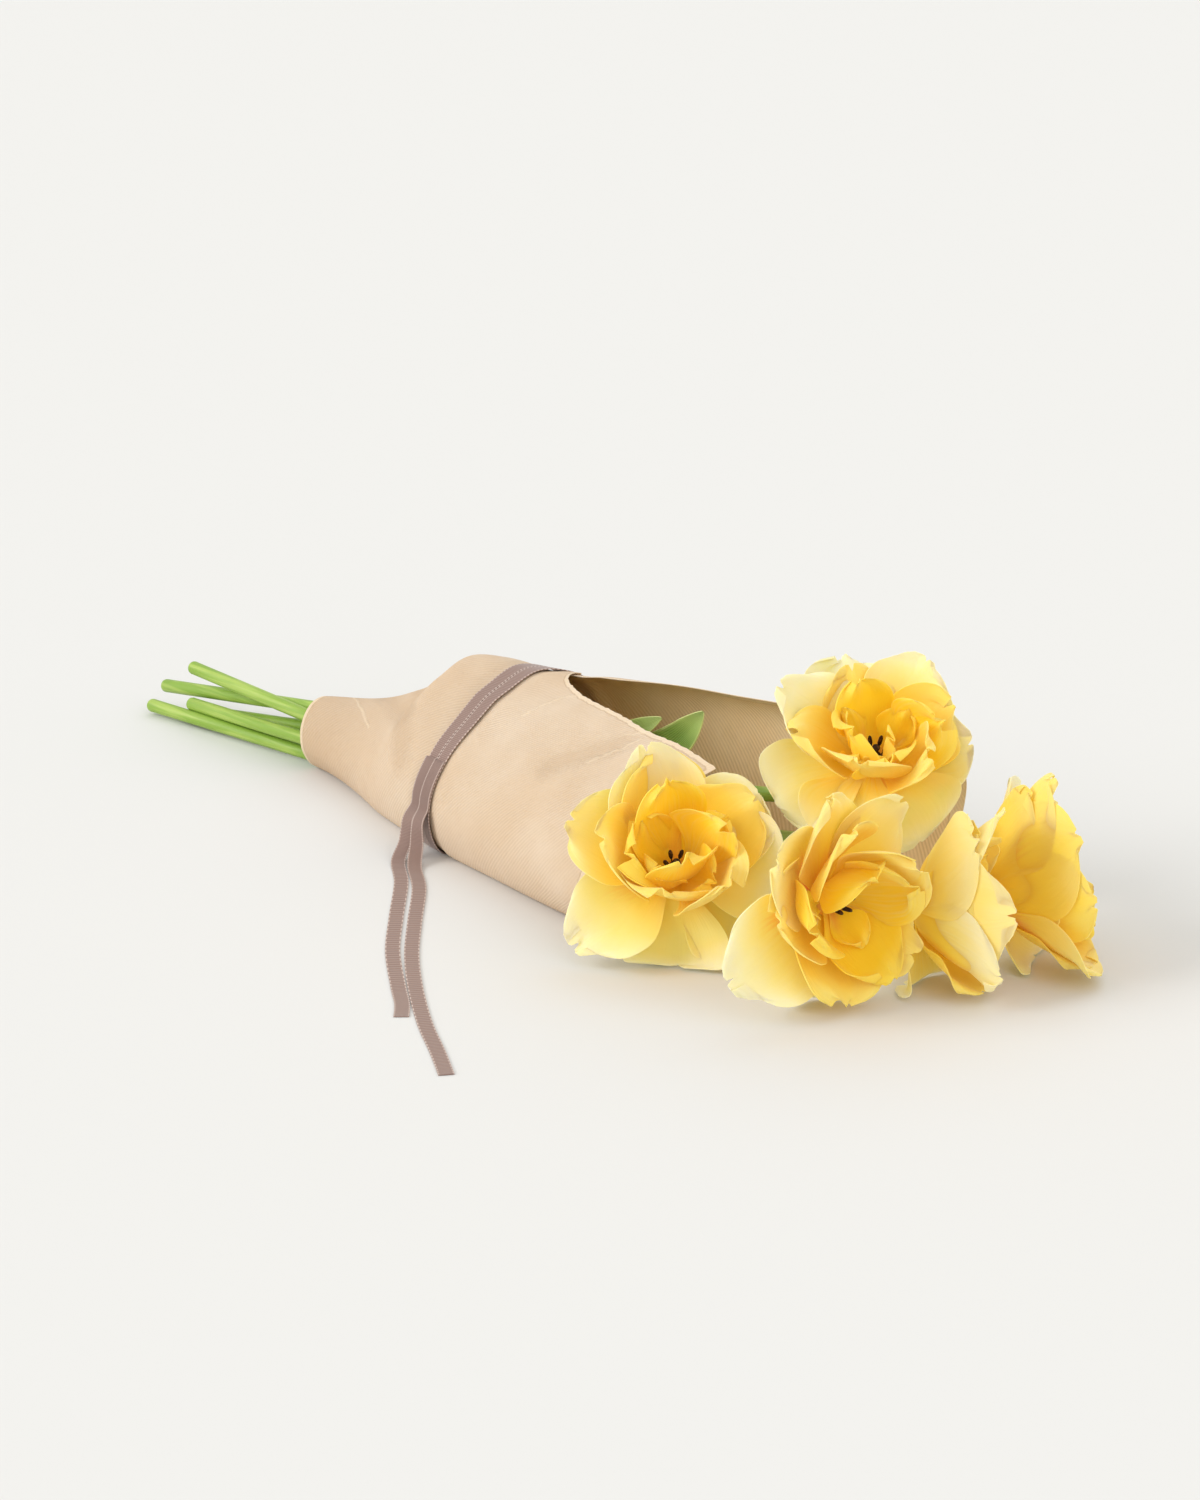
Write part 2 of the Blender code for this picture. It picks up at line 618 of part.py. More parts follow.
LEAVES = (
    Leaf(stem=1, start=7, pull=50, tip=(268, 36, 87), width=25, faces=(0.4, -0.8, 0.45)),
    Leaf(stem=1, start=6, pull=50, tip=(243, 30, 79), width=21, faces=(0.4, -0.7, 0.6)),
    Leaf(stem=0, start=6, pull=80, tip=(286, -32, 66), width=20, faces=(0.0, 0.3, 1.0)),
    Leaf(stem=2, start=6, pull=90, tip=(338, 70, 24), width=22, faces=(0.0, -0.5, 1.0)),
    Leaf(stem=3, start=6, pull=90, tip=(366, -46, 9), width=22, faces=(0.1, -0.2, 1.0)),
)


def leafy_stem(flower, green, collection, scratch):
    """A stem with the leaves that grow from it."""
    route = stem_route(flower)
    name = "stem_%d" % (flower.index + 1)
    stem = tube_object(name, route, STEM_RADIUS, collection)
    stem.data.materials.append(green)
    pieces = []
    for leaf in LEAVES:
        if leaf.stem == flower.index:

            def surface(across, along, leaf=leaf):
                return leaf.surface(route, across, along)

            pieces.append(sheet_object("leaf", *LEAF_GRID, surface, LEAF_THICK, scratch))
    if pieces:
        fuse(stem, pieces, scratch)


def rod(low, high, radii, sides, flower, collection):
    """A tapering rod in a flower's frame, from one point to another."""
    low = np.array(low, dtype=float)
    high = np.array(high, dtype=float)
    length = float(np.linalg.norm(high - low))
    shape = bmesh.new()
    bmesh.ops.create_cone(shape, cap_ends=True, segments=sides, radius1=radii[0],
                          radius2=radii[1], depth=length)
    turn = Vector((0, 0, 1)).rotation_difference(Vector(high - low)).to_matrix()
    for vertex in shape.verts:
        local = np.array(turn @ vertex.co) + (low + high) / 2
        vertex.co = to_metres(flower.base + flower.frame @ local)
    bmesh.ops.triangulate(shape, faces=shape.faces)
    mesh = bpy.data.meshes.new("rod")
    shape.to_mesh(mesh)
    shape.free()
    return new_object("rod", mesh, collection)


def heart(flower, brown, collection, scratch):
    """The pistil in the middle of a head, with its dark stamens round it."""
    floor = RECEPTACLE_HALF_HEIGHT + GAP
    base = rod((0, 0, floor), (0, 0, floor + HEART_FOOT_HEIGHT), HEART_FOOT, 6, flower, collection)
    base.name = "heart_%d" % (flower.index + 1)
    base.data.name = base.name
    base.data.materials.append(brown)
    foot = floor + ROD_SUNK
    pieces = [rod((0, 0, foot), (0, 0, floor + PISTIL_HEIGHT), PISTIL, 5, flower, scratch)]
    near, far = STAMEN_RING
    for index in range(STAMEN_COUNT):
        angle = 2 * math.pi * index / STAMEN_COUNT
        low = (near * math.cos(angle), near * math.sin(angle), foot)
        high = (far * math.cos(angle), far * math.sin(angle), floor + STAMEN_HEIGHT)
        pieces.append(rod(low, high, STAMEN, 3, flower, scratch))
    fuse(base, pieces, scratch)


def tie_point(x, place, lift):
    """A point over the wrap's pinched outside: x is the station that the tie has underneath."""
    x = x - tie_slant(place)
    section = wrap_outline(x, place)
    middle = section_middle(x)
    outward = section - middle
    radius = np.linalg.norm(outward, axis=-1, keepdims=True)
    section = middle + outward * (1 + (PAPER_THICK / 2 + lift - TIE_PINCH) / radius)
    z = np.maximum(section[..., 1], TIE_PINCH - lift)
    return np.stack((x, section[..., 0], z), -1)


def ribbon_strand(name, middle_x, grosgrain, collection):
    """One turn of the ribbon round the wrap."""

    def surface(across, along):
        x = middle_x + across * RIBBON_WIDTH / 2
        return tie_point(x, along * SECTION_COUNT, RIBBON_LIFT)

    strand = sheet_object(name, 1, RIBBON_STEPS, surface, RIBBON_THICK, collection)
    shape = bmesh.new()
    shape.from_mesh(strand.data)
    bmesh.ops.remove_doubles(shape, verts=shape.verts, dist=WELD_DISTANCE)
    shape.to_mesh(strand.data)
    shape.free()
    strand.data.materials.append(grosgrain)


def ribbon_tail(name, middle_x, floor_route, grosgrain, collection):
    """A loose end: down over the tie, off the wrap's near side, and along the floor."""
    over_places = np.linspace(*TAIL_OVER, TAIL_OVER_KNOTS)
    over = tie_point(np.full(TAIL_OVER_KNOTS, middle_x), over_places, TAIL_LIFT)
    knots = list(over) + [np.array(point, dtype=float) for point in floor_route]
    sides = [np.array((1.0, 0.0, 0.0))] * len(over)
    count = len(floor_route)
    for index in range(count):
        here = index + len(over)
        ahead = knots[min(here + 1, len(knots) - 1)] - knots[here - 1]
        side = np.array((-ahead[1], ahead[0], 0.0))
        side /= np.linalg.norm(side)
        flat = smooth_step((index + 1) / TAIL_TWIST_STEPS)
        side = side * flat + np.array((1.0, 0.0, 0.0)) * (1 - flat)
        sides.append(side / np.linalg.norm(side))
    table = np.hstack((np.array(knots), np.array(sides)))

    def surface(across, along):
        place = along * (len(knots) - 1)
        smooth = open_curve(table, place)
        side = smooth[:, 3:] / np.linalg.norm(smooth[:, 3:], axis=-1, keepdims=True)
        points = smooth[:, :3] + side * (across * RIBBON_WIDTH / 2)[:, None]
        points[:, 2] = np.maximum(points[:, 2], FLOOR_LIFT + RIBBON_THICK / 2)
        return points

    tail = sheet_object(name, 1, TAIL_STEPS, surface, RIBBON_THICK, collection)
    tail.data.materials.append(grosgrain)


def open_curve(table, place):
    """Points of a smooth curve through every row of the table."""
    last = len(table) - 1
    index = np.clip(np.floor(place).astype(int), 0, last - 1)
    part = (place - index)[:, None]
    before = table[np.maximum(index - 1, 0)]
    start = table[index]
    end = table[index + 1]
    after = table[np.minimum(index + 2, last)]
    bend = 2 * before - 5 * start + 4 * end - after
    twist = 3 * start - before - 3 * end + after
    return 0.5 * (2 * start + (end - before) * part + bend * part ** 2 + twist * part ** 3)


def main():
    for old in list(bpy.data.objects):
        bpy.data.objects.remove(old)
    collection = bpy.data.collections.new("tulip_bunch")
    scratch = bpy.data.collections.new("joined_pieces")
    bpy.context.scene.collection.children.link(collection)
    bpy.context.scene.collection.children.link(scratch)

    petal_yellow = material("petal_yellow", (0.92, 0.66, 0.10), 0.6)
    stem_green = material("stem_green", (0.35, 0.60, 0.12), 0.5)
    heart_brown = material("heart_brown", (0.08, 0.05, 0.03), 0.7)
    paper_brown = material("paper_brown", (0.74, 0.55, 0.38), 0.85)
    grosgrain = material("ribbon_mauve", (0.30, 0.22, 0.20), 0.7)

    for flower in flowers():
        bloom(flower, petal_yellow, collection, scratch)
        leafy_stem(flower, stem_green, collection, scratch)
        heart(flower, heart_brown, collection, scratch)

    def paper(across, along):
        return wrap_point(along, (across + 1) / 2)

    wrap = sheet_object("paper_wrap", WRAP_COLUMNS, len(WRAP_ROWS) - 1 + WRAP_MOUTH_ROWS, paper,
                        PAPER_THICK, collection)
    wrap.data.materials.append(paper_brown)
    for index, middle_x in enumerate(STRAND_X):
        ribbon_strand("ribbon_strand_%d" % (index + 1), middle_x, grosgrain, collection)
        ribbon_tail("ribbon_tail_%d" % (index + 1), middle_x, TAIL_ROUTES[index], grosgrain,
                    collection)
    bpy.data.collections.remove(scratch)


main()
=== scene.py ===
"""Looks of a bunch of five double tulips in a paper wrap, tied with a doubled ribbon.

Each sub-assembly of the bunch has a class of its own, and so has each finish. Lengths are bunch
millimetres, from the wrap's neck, until in_metres places a shape in the frame. X runs along the
bunch to the blooms, Z is up, and -Y is the near side.
"""

import logging
import math
from dataclasses import dataclass, field, replace
from enum import Enum
from typing import Callable

import bpy
import numpy as np
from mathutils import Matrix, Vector


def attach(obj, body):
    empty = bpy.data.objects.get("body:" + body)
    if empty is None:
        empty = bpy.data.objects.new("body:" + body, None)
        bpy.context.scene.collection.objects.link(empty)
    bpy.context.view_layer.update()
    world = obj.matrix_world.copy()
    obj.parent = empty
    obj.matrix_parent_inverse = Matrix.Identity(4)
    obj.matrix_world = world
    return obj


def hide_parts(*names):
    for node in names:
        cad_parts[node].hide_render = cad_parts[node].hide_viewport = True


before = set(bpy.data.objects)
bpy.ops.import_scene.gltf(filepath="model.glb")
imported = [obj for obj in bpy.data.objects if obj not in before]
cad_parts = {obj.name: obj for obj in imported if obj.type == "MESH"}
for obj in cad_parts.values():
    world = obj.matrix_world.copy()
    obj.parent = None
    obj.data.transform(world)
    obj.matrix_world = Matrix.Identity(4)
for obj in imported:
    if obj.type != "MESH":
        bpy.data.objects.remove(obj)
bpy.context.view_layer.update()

LOG = logging.getLogger("tulips")
BODY = "root"
MM = 0.001
NECK_X = -230.0
UV_MAP = "UVMap"

Stations = tuple[tuple[float, float], ...]
Point = tuple[float, float, float]
Sheet = tuple[bpy.types.Object, np.ndarray, np.ndarray]


def in_metres(points: np.ndarray) -> np.ndarray:
    """Bunch millimetres, measured from the wrap's neck, as metres in the frame."""
    return (np.asarray(points, dtype=float) + (NECK_X, 0.0, 0.0)) * MM


def smooth_step(value: np.ndarray) -> np.ndarray:
    """A soft rise from 0 to 1."""
    value = np.clip(value, 0.0, 1.0)
    return value * value * (3 - 2 * value)


def rise_from(value: np.ndarray, start: float) -> np.ndarray:
    """0 up to a start, and a soft rise to 1 from there to 1."""
    return smooth_step((value - start) / (1 - start))


def unit(vectors: np.ndarray) -> np.ndarray:
    """Each vector's heading, of length 1."""
    return vectors / np.linalg.norm(vectors, axis=-1, keepdims=True)


def line_length(line: np.ndarray) -> float:
    """How long a line through a row of points is."""
    return float(np.linalg.norm(np.diff(line, axis=0), axis=1).sum())


def curve_value(position: np.ndarray, stations: Stations) -> np.ndarray:
    """A smooth value at a position.

    Args:
        position: Where the value is wanted.
        stations: Pairs of (position, value), in rising order.

    Returns:
        The value there, held level past either end.
    """
    xs = np.array([station[0] for station in stations], dtype=float)
    ys = np.array([station[1] for station in stations], dtype=float)
    slopes = np.gradient(ys, xs)
    position = np.clip(np.asarray(position, dtype=float), xs[0], xs[-1])
    index = np.clip(np.searchsorted(xs, position) - 1, 0, len(xs) - 2)
    span = xs[index + 1] - xs[index]
    part = (position - xs[index]) / span
    rise = part * part * (3 - 2 * part)
    pull = part * (1 - part) ** 2 * slopes[index] + part * part * (part - 1) * slopes[index + 1]
    return ys[index] * (1 - rise) + ys[index + 1] * rise + pull * span


def through(table: np.ndarray, place: np.ndarray, closed: bool) -> np.ndarray:
    """Points of a smooth curve through every row of a table.

    Args:
        table: One row of values for each knot.
        place: Where on the curve, counted in knots.
        closed: Whether the last knot leads back to the first.

    Returns:
        One row of values for each place.
    """
    count = len(table)
    last = count if closed else count - 1
    index = np.floor(place).astype(int)
    index = index if closed else np.clip(index, 0, last - 1)
    part = (place - index)[..., None]
    picks = [index + step for step in (-1, 0, 1, 2)]
    picks = [pick % count if closed else np.clip(pick, 0, last) for pick in picks]
    before, start, end, after = (table[pick] for pick in picks)
    bend = 2 * before - 5 * start + 4 * end - after
    twist = 3 * start - before - 3 * end + after
    return 0.5 * (2 * start + (end - before) * part + bend * part ** 2 + twist * part ** 3)


def bezier(points: tuple[Point, ...], share: np.ndarray) -> np.ndarray:
    """Points on the curve that a few control points pull, one for each row of shares."""
    rows = [np.array(point, dtype=float) for point in points]
    while len(rows) > 1:
        rows = [start + (end - start) * share for start, end in zip(rows, rows[1:])]
    return rows[0]


def linear(red: int, green: int, blue: int) -> tuple[float, float, float, float]:
    """A colour given by its screen values from 0 to 255, as the light values of a shader."""
    shares = [value / 255 for value in (red, green, blue)]
    curved = [s / 12.92 if s <= 0.04045 else ((s + 0.055) / 1.055) ** 2.4 for s in shares]
    return (*curved, 1.0)


def math_node(operation: str, swapped: bool = False) -> Callable[..., "Wire"]:
    """A method that puts one Math node on a wire and another value.

    Args:
        operation: What the node works out.
        swapped: Whether the wire is the second of the two values.

    Returns:
        The method, for a class of wires.
    """
    def method(self: "Wire", other: object = 0.0) -> "Wire":
        """The node's output."""
        pair = (other, self) if swapped else (self, other)
        return self.paint.node("ShaderNodeMath", {"operation": operation}, dict(enumerate(pair)))
    return method


class Wire:
    """One value in a material's node tree, with the sums that the finishes write."""

    def __init__(self, paint: "Paint", socket: bpy.types.NodeSocket) -> None:
        """Keeps the tree's painter and the output socket."""
        self.paint = paint
        self.socket = socket

    __add__ = math_node("ADD")
    __radd__ = math_node("ADD", swapped=True)
    __sub__ = math_node("SUBTRACT")
    __rsub__ = math_node("SUBTRACT", swapped=True)
    __mul__ = math_node("MULTIPLY")
    __pow__ = math_node("POWER")
    at_least = math_node("MAXIMUM")
    at_most = math_node("MINIMUM")
    size = math_node("ABSOLUTE")
    sine = math_node("SINE")

    def stripes(self, pitch: float) -> "Wire":
        """A soft stripe from 0 to 1 and back, once in every pitch of the value."""
        return (self * (2 * math.pi / pitch)).sine() * 0.5 + 0.5

    def off_middle(self) -> "Wire":
        """How far a share from 0 to 1 lies from the middle, 0, to either end, 1."""
        return (self * 2.0 - 1.0).size()

    def between(self, low: float, high: float) -> "Wire":
        """0 below low and 1 above high, with a soft rise from one to the other."""
        settings = {"interpolation_type": "SMOOTHSTEP"}
        return self.paint.node("ShaderNodeMapRange", settings, {0: self, 1: low, 2: high})


class Paint:
    """A material under construction: its node tree and the shader that it ends in."""

    def __init__(self, name: str) -> None:
        """Starts a material with one Principled BSDF."""
        self.material = bpy.data.materials.new(name)
        self.material.use_nodes = True
        self.tree = self.material.node_tree
        self.shader = self.tree.nodes["Principled BSDF"]

    def node(self, kind: str, settings: dict, inputs: dict, output: int | str = 0) -> Wire:
        """Adds one node.

        Args:
            kind: The node's type.
            settings: Its own properties, set first; "stops" fills a colour ramp.
            inputs: Values or wires for its sockets, by number or name.
            output: Which of its outputs is wanted.

        Returns:
            The output, as a wire.
        """
        made = self.tree.nodes.new(kind)
        for key, value in settings.items():
            if key == "stops":
                self._fill_ramp(made, value)
            else:
                setattr(made, key, value)
        for key, value in inputs.items():
            self.plug(made.inputs[key], value)
        return Wire(self, made.outputs[output])

    @staticmethod
    def _fill_ramp(ramp: bpy.types.Node, stops: tuple) -> None:
        """Gives a colour ramp its stops, as (place, colour)."""
        elements = ramp.color_ramp.elements
        while len(elements) < len(stops):
            elements.new(0.5)
        for element, (place, colour) in zip(elements, stops):
            element.position = place
            element.color = colour

    def plug(self, socket: bpy.types.NodeSocket, value: object) -> None:
        """Links a wire to a socket, or sets the socket's own value."""
        if isinstance(value, Wire):
            self.tree.links.new(value.socket, socket)
        else:
            socket.default_value = value

    def mix(self, share: object, first: object, second: object) -> Wire:
        """A colour between two others, by a share from 0 to 1."""
        return self.node("ShaderNodeMix", {"data_type": "RGBA"}, {0: share, 6: first, 7: second}, 2)

    def ramp(self, share: object, *stops: tuple) -> Wire:
        """A colour picked along a ramp of (place, colour) stops."""
        return self.node("ShaderNodeValToRGB", {"stops": stops}, {0: share})

    def noise(self, vector: object, scale: float, detail: float = 2.0) -> Wire:
        """A cloudy value from 0 to 1."""
        inputs = {"Vector": vector, "Scale": scale, "Detail": detail}
        return self.node("ShaderNodeTexNoise", {}, inputs)

    def vector(self, x: object, y: object, z: object = 0.0) -> Wire:
        """A vector of three values."""
        return self.node("ShaderNodeCombineXYZ", {}, {0: x, 1: y, 2: z})

    def spot(self, name: str) -> Wire:
        """A value that each point of the piece carries."""
        return self.node("ShaderNodeAttribute", {"attribute_name": name}, {}, "Fac")

    def sheet_places(self) -> tuple[Wire, Wire]:
        """Across and along the piece, from its UV map."""
        both = self.node("ShaderNodeUVMap", {"uv_map": UV_MAP}, {})
        apart = self.tree.nodes.new("ShaderNodeSeparateXYZ")
        self.plug(apart.inputs[0], both)
        return Wire(self, apart.outputs[0]), Wire(self, apart.outputs[1])

    def fold(self, sheet: tuple[Wire, Wire], start: tuple, end: tuple, width: float) -> Wire:
        """1 on the line between two places of a sheet, fading to 0 at a distance of width."""
        length = math.dist(start, end)
        way = [(there - here) / length for here, there in zip(start, end)]
        off = [place - here for place, here in zip(sheet, start)]
        share = (off[0] * way[0] + off[1] * way[1]).at_least(0.0).at_most(length)
        apart = [place - share * step for place, step in zip(off, way)]
        return 1.0 - ((apart[0] ** 2.0 + apart[1] ** 2.0) ** 0.5).between(0.0, width)

    def place(self) -> Wire:
        """Where a point lies in the frame, in metres."""
        return self.node("ShaderNodeTexCoord", {}, {}, "Object")

    def bump(self, height: Wire, depth: float) -> None:
        """Raises the surface by a height from 0 to 1, times a depth in metres."""
        inputs = {"Height": height, "Distance": depth, "Strength": 1.0}
        self.plug(self.shader.inputs["Normal"], self.node("ShaderNodeBump", {}, inputs))

    def end(self, **sockets: object) -> bpy.types.Material:
        """Sets the shader's sockets, named with _ for a space, and gives the material."""
        for name, value in sockets.items():
            self.plug(self.shader.inputs[name.replace("_", " ")], value)
        return self.material


@dataclass(frozen=True)
class PetalFinish:
    """Soft yellow petals: golden inside the cup, cream at the rims and on the outer whorl."""

    deep: tuple = linear(234, 172, 24)
    golden: tuple = linear(247, 200, 36)
    honey: tuple = linear(243, 206, 76)
    butter: tuple = linear(240, 217, 124)
    cream: tuple = linear(242, 232, 182)
    green: tuple = linear(228, 222, 132)
    blush: tuple = linear(240, 128, 70)
    cloud_scale: float = 38.0
    green_scale: float = 21.0
    fibres: Point = (34.0, 2.2, 9.0)
    blush_off: float = 0.3
    relief: float = 0.00022
    # Painted light: a faint emission in the petals' own colour lifts their shade.
    painted_glow: float = 0.09

    def material(self) -> bpy.types.Material:
        """Builds the finish from the petal's own UV map and values."""
        paint = Paint("petal_silk")
        across, along = paint.sheet_places()
        inner, tone, where = paint.spot("inner"), paint.spot("tone"), paint.place()
        cloud = paint.noise(where, self.cloud_scale) - 0.5
        places = [value * scale for value, scale in zip((across, along, tone), self.fibres)]
        fibre = paint.noise(paint.vector(*places), 1.0, 3.0)
        reach = along + across.off_middle() ** 2.0 * 0.16 + cloud * 0.24
        inner_colour = paint.ramp(reach, (0.0, self.deep), (0.25, self.golden),
                                  (0.78, self.golden), (1.0, self.honey))
        outer_colour = paint.ramp(reach, (0.0, self.golden), (0.28, self.honey),
                                  (0.6, self.butter), (0.9, self.cream))
        colour = paint.mix(inner, outer_colour, inner_colour)
        greenish = paint.noise(where, self.green_scale).between(0.52, 0.7) * (1.0 - inner)
        colour = paint.mix(greenish * 0.5, colour, self.green)
        streak = (fibre - 0.5) * 0.22 + (tone - 0.5) * 0.12
        colour = paint.mix(streak.between(0.0, 0.2) * 0.3, colour, self.cream)
        colour = paint.mix((0.0 - streak).between(0.0, 0.2) * inner * 0.2, colour, self.deep)
        off = (across - self.blush_off).size()
        clear = (along + off * 0.7 + (fibre - 0.5) * 0.3).between(0.2, 0.62)
        colour = paint.mix((1.0 - clear) * paint.spot("blush"), colour, self.blush)
        paint.bump(fibre, self.relief)
        # The emission is painted light: the petals glow faintly in their own colour.
        return paint.end(Base_Color=colour, Roughness=0.55, Subsurface_Weight=0.45,
                         Subsurface_Radius=(1.0, 0.88, 0.3), Subsurface_Scale=0.003,
                         Specular_IOR_Level=0.28, Sheen_Weight=0.12, Sheen_Roughness=0.5,
                         Emission_Color=colour, Emission_Strength=self.painted_glow)


@dataclass(frozen=True)
class StemFinish:
    """Smooth lime-green stems, with lengthwise streaks and darker patches."""

    lime: tuple = linear(138, 172, 66)
    light: tuple = linear(172, 196, 96)
    shade: tuple = linear(98, 138, 44)
    streaks: Point = (12.0, 320.0, 320.0)
    patch_scale: float = 24.0
    relief: float = 0.00015

    def material(self) -> bpy.types.Material:
        """Builds the finish from streaks along the stem."""
        paint = Paint("stem_green")
        where = paint.place()
        drawn_out = paint.node("ShaderNodeMapping", {}, {"Vector": where, "Scale": self.streaks})
        streak = paint.noise(drawn_out, 1.0, 3.0)
        patch = paint.noise(where, self.patch_scale)
        colour = paint.mix(streak.between(0.42, 0.7), self.lime, self.light)
        colour = paint.mix(patch.between(0.55, 0.8) * 0.5, colour, self.shade)
        paint.bump(streak, self.relief)
        return paint.end(Base_Color=colour, Roughness=0.42, Subsurface_Weight=0.15,
                         Subsurface_Radius=(0.6, 1.0, 0.2), Subsurface_Scale=0.002,
                         Specular_IOR_Level=0.4)


@dataclass(frozen=True)
class LeafFinish:
    """Leaves in a cool green, with fine lengthwise veins and a paler margin."""

    green: tuple = linear(168, 198, 98)
    light: tuple = linear(220, 230, 150)
    shade: tuple = linear(122, 164, 68)
    veins: float = 118.0
    cloud_scale: float = 45.0
    wander_scale: float = 60.0
    relief: float = 0.00012

    def material(self) -> bpy.types.Material:
        """Builds the finish from the leaf's own UV map."""
        paint = Paint("leaf_green")
        across, along = paint.sheet_places()
        wander = paint.noise(paint.place(), self.wander_scale) * 2.0
        vein = (across * self.veins + wander).sine() * 0.5 + 0.5
        cloud = paint.noise(paint.place(), self.cloud_scale)
        colour = paint.mix(cloud.between(0.35, 0.7), self.shade, self.green)
        margin = across.off_middle().between(0.82, 1.0)
        colour = paint.mix(vein * 0.28 + margin * 0.7, colour, self.light)
        colour = paint.mix(along.between(0.75, 1.0) * 0.35, colour, self.light)
        paint.bump(vein, self.relief)
        return paint.end(Base_Color=colour, Roughness=0.45, Subsurface_Weight=0.12,
                         Subsurface_Radius=(0.5, 1.0, 0.2), Subsurface_Scale=0.0015,
                         Specular_IOR_Level=0.4)


@dataclass(frozen=True)
class ReceptacleFinish:
    """The knob under the petals: green where the stem meets it, golden inside the cup."""

    green: tuple = linear(150, 182, 78)
    golden: tuple = linear(226, 160, 34)
    grain_scale: float = 500.0
    relief: float = 0.0002

    def material(self) -> bpy.types.Material:
        """Builds the finish from the knob's own height."""
        paint = Paint("receptacle_green")
        grain = paint.noise(paint.place(), self.grain_scale)
        rise = (paint.spot("rise") + (grain - 0.5) * 0.4).between(-0.1, 0.5)
        paint.bump(grain, self.relief)
        return paint.end(Base_Color=paint.mix(rise, self.green, self.golden), Roughness=0.6,
                         Subsurface_Weight=0.3, Subsurface_Radius=(1.0, 0.9, 0.3),
                         Subsurface_Scale=0.002)


@dataclass(frozen=True)
class HeartFinish:
    """Nearly black stamens with a dusty bloom."""

    dark: tuple = linear(44, 28, 16)
    dust: tuple = linear(110, 78, 40)
    speck_scale: float = 900.0
    relief: float = 0.0003

    def material(self) -> bpy.types.Material:
        """Builds the finish from fine specks."""
        paint = Paint("heart_brown")
        speck = paint.noise(paint.place(), self.speck_scale, 3.0)
        paint.bump(speck, self.relief)
        colour = paint.mix(speck.between(0.5, 0.72), self.dark, self.dust)
        return paint.end(Base_Color=colour, Roughness=0.85)


@dataclass(frozen=True)
class PaperFinish:
    """One side of ribbed kraft paper: slanting ribs, long fibres, stains and worn edges.

    Places and widths are metres on the flat sheet: across it from the wrap's near side, and
    along it from the neck. hem is the margin's inner edge, as a share of what PaperWrap.margin
    counts as the sheet's border. Painted shade darkens the paper's colour from deep, fully, to
    mouth, not at all, and along its valleys.
    """

    name: str
    light: tuple
    warm: tuple
    brown: tuple
    rib_pitch: float
    rib_share: float
    hem: float
    painted_depth_shade: float
    deep: float
    mouth: float
    valleys: tuple = ()
    creases: tuple = ()
    worn: tuple = linear(240, 216, 186)
    rib_slant: float = math.radians(40)
    rib_bend: float = 0.004
    rib_bend_scale: float = 9.0
    patch_scale: float = 30.0
    cloud_scale: float = 14.0
    speck_scale: float = 900.0
    fibres: tuple[float, float] = (240.0, 1600.0)
    fold_wobble: float = 0.005
    fold_wobble_scale: float = 160.0
    valley_width: float = 0.013
    valley_depth: float = 9.0
    crease_width: float = 0.0016
    crease_height: float = 1.6
    relief: float = 0.00022

    def material(self) -> bpy.types.Material:
        """Builds the finish on the flat sheet's own metres, kept in its UV map."""
        paint = Paint(self.name)
        across, along = paint.sheet_places()
        flat = paint.vector(across, along)
        rib = self._ribs(paint, across, along, flat)
        cloud = paint.noise(flat, self.cloud_scale, 4.0)
        drawn_out = paint.vector(across * self.fibres[0], along * self.fibres[1])
        fibre = paint.noise(drawn_out, 1.0, 4.0)
        speck = paint.noise(flat, self.speck_scale)
        # Painted shade: full at deep, fading to none by mouth.
        deep = 1.0 - along.between(self.deep, self.mouth)
        margin = paint.spot("edge") + (fibre - 0.5) * 0.16
        border = 1.0 - margin.between(self.hem - 0.06, self.hem + 0.04)
        line = margin.between(self.hem - 0.07, self.hem)
        line = line * (1.0 - margin.between(self.hem, self.hem + 0.07))
        colour = paint.mix(cloud.between(0.3, 0.72), self.warm, self.light)
        # The share by deep mixes in painted shade; the other shares are the paper's own marks.
        for share, tint in ((rib * self.rib_share, self.brown),
                            (fibre.between(0.5, 0.75) * 0.2, self.brown),
                            (speck.between(0.66, 0.8) * 0.35, self.brown),
                            (deep * self.painted_depth_shade, self.brown),
                            (border * 0.6, self.worn), (line * 0.5, self.brown)):
            colour = paint.mix(share, colour, tint)
        height = rib * 0.6 + fibre * 0.3 - line * 0.6
        wobble = paint.noise(flat, self.fold_wobble_scale, 3.0) * self.fold_wobble
        folded = (across + wobble, along + wobble)
        for start, end in self.valleys:
            valley = paint.fold(folded, start, end, self.valley_width)
            # Painted shade darkens the colour along each valley.
            colour = paint.mix(valley * 0.28, colour, self.brown)
            height = height - valley * self.valley_depth
        for start, end in self.creases:
            crease = paint.fold(folded, start, end, self.crease_width)
            colour = paint.mix(crease * 0.4, colour, self.worn)
            height = height + crease * self.crease_height
        paint.bump(height, self.relief)
        return paint.end(Base_Color=colour, Roughness=0.78 + cloud * 0.1,
                         Specular_IOR_Level=0.25, Subsurface_Weight=0.25,
                         Subsurface_Radius=(1.0, 0.8, 0.6), Subsurface_Scale=0.003)

    def _ribs(self, paint: Paint, across: Wire, along: Wire, flat: Wire) -> Wire:
        """Slanting ribs from 0 to 1, slightly bent, and fainter in patches."""
        slanted = along * math.cos(self.rib_slant) + across * math.sin(self.rib_slant)
        slanted = slanted + paint.noise(flat, self.rib_bend_scale) * self.rib_bend
        patch = paint.noise(flat, self.patch_scale).between(0.25, 0.6)
        return slanted.stripes(self.rib_pitch) * (patch * 0.6 + 0.4)
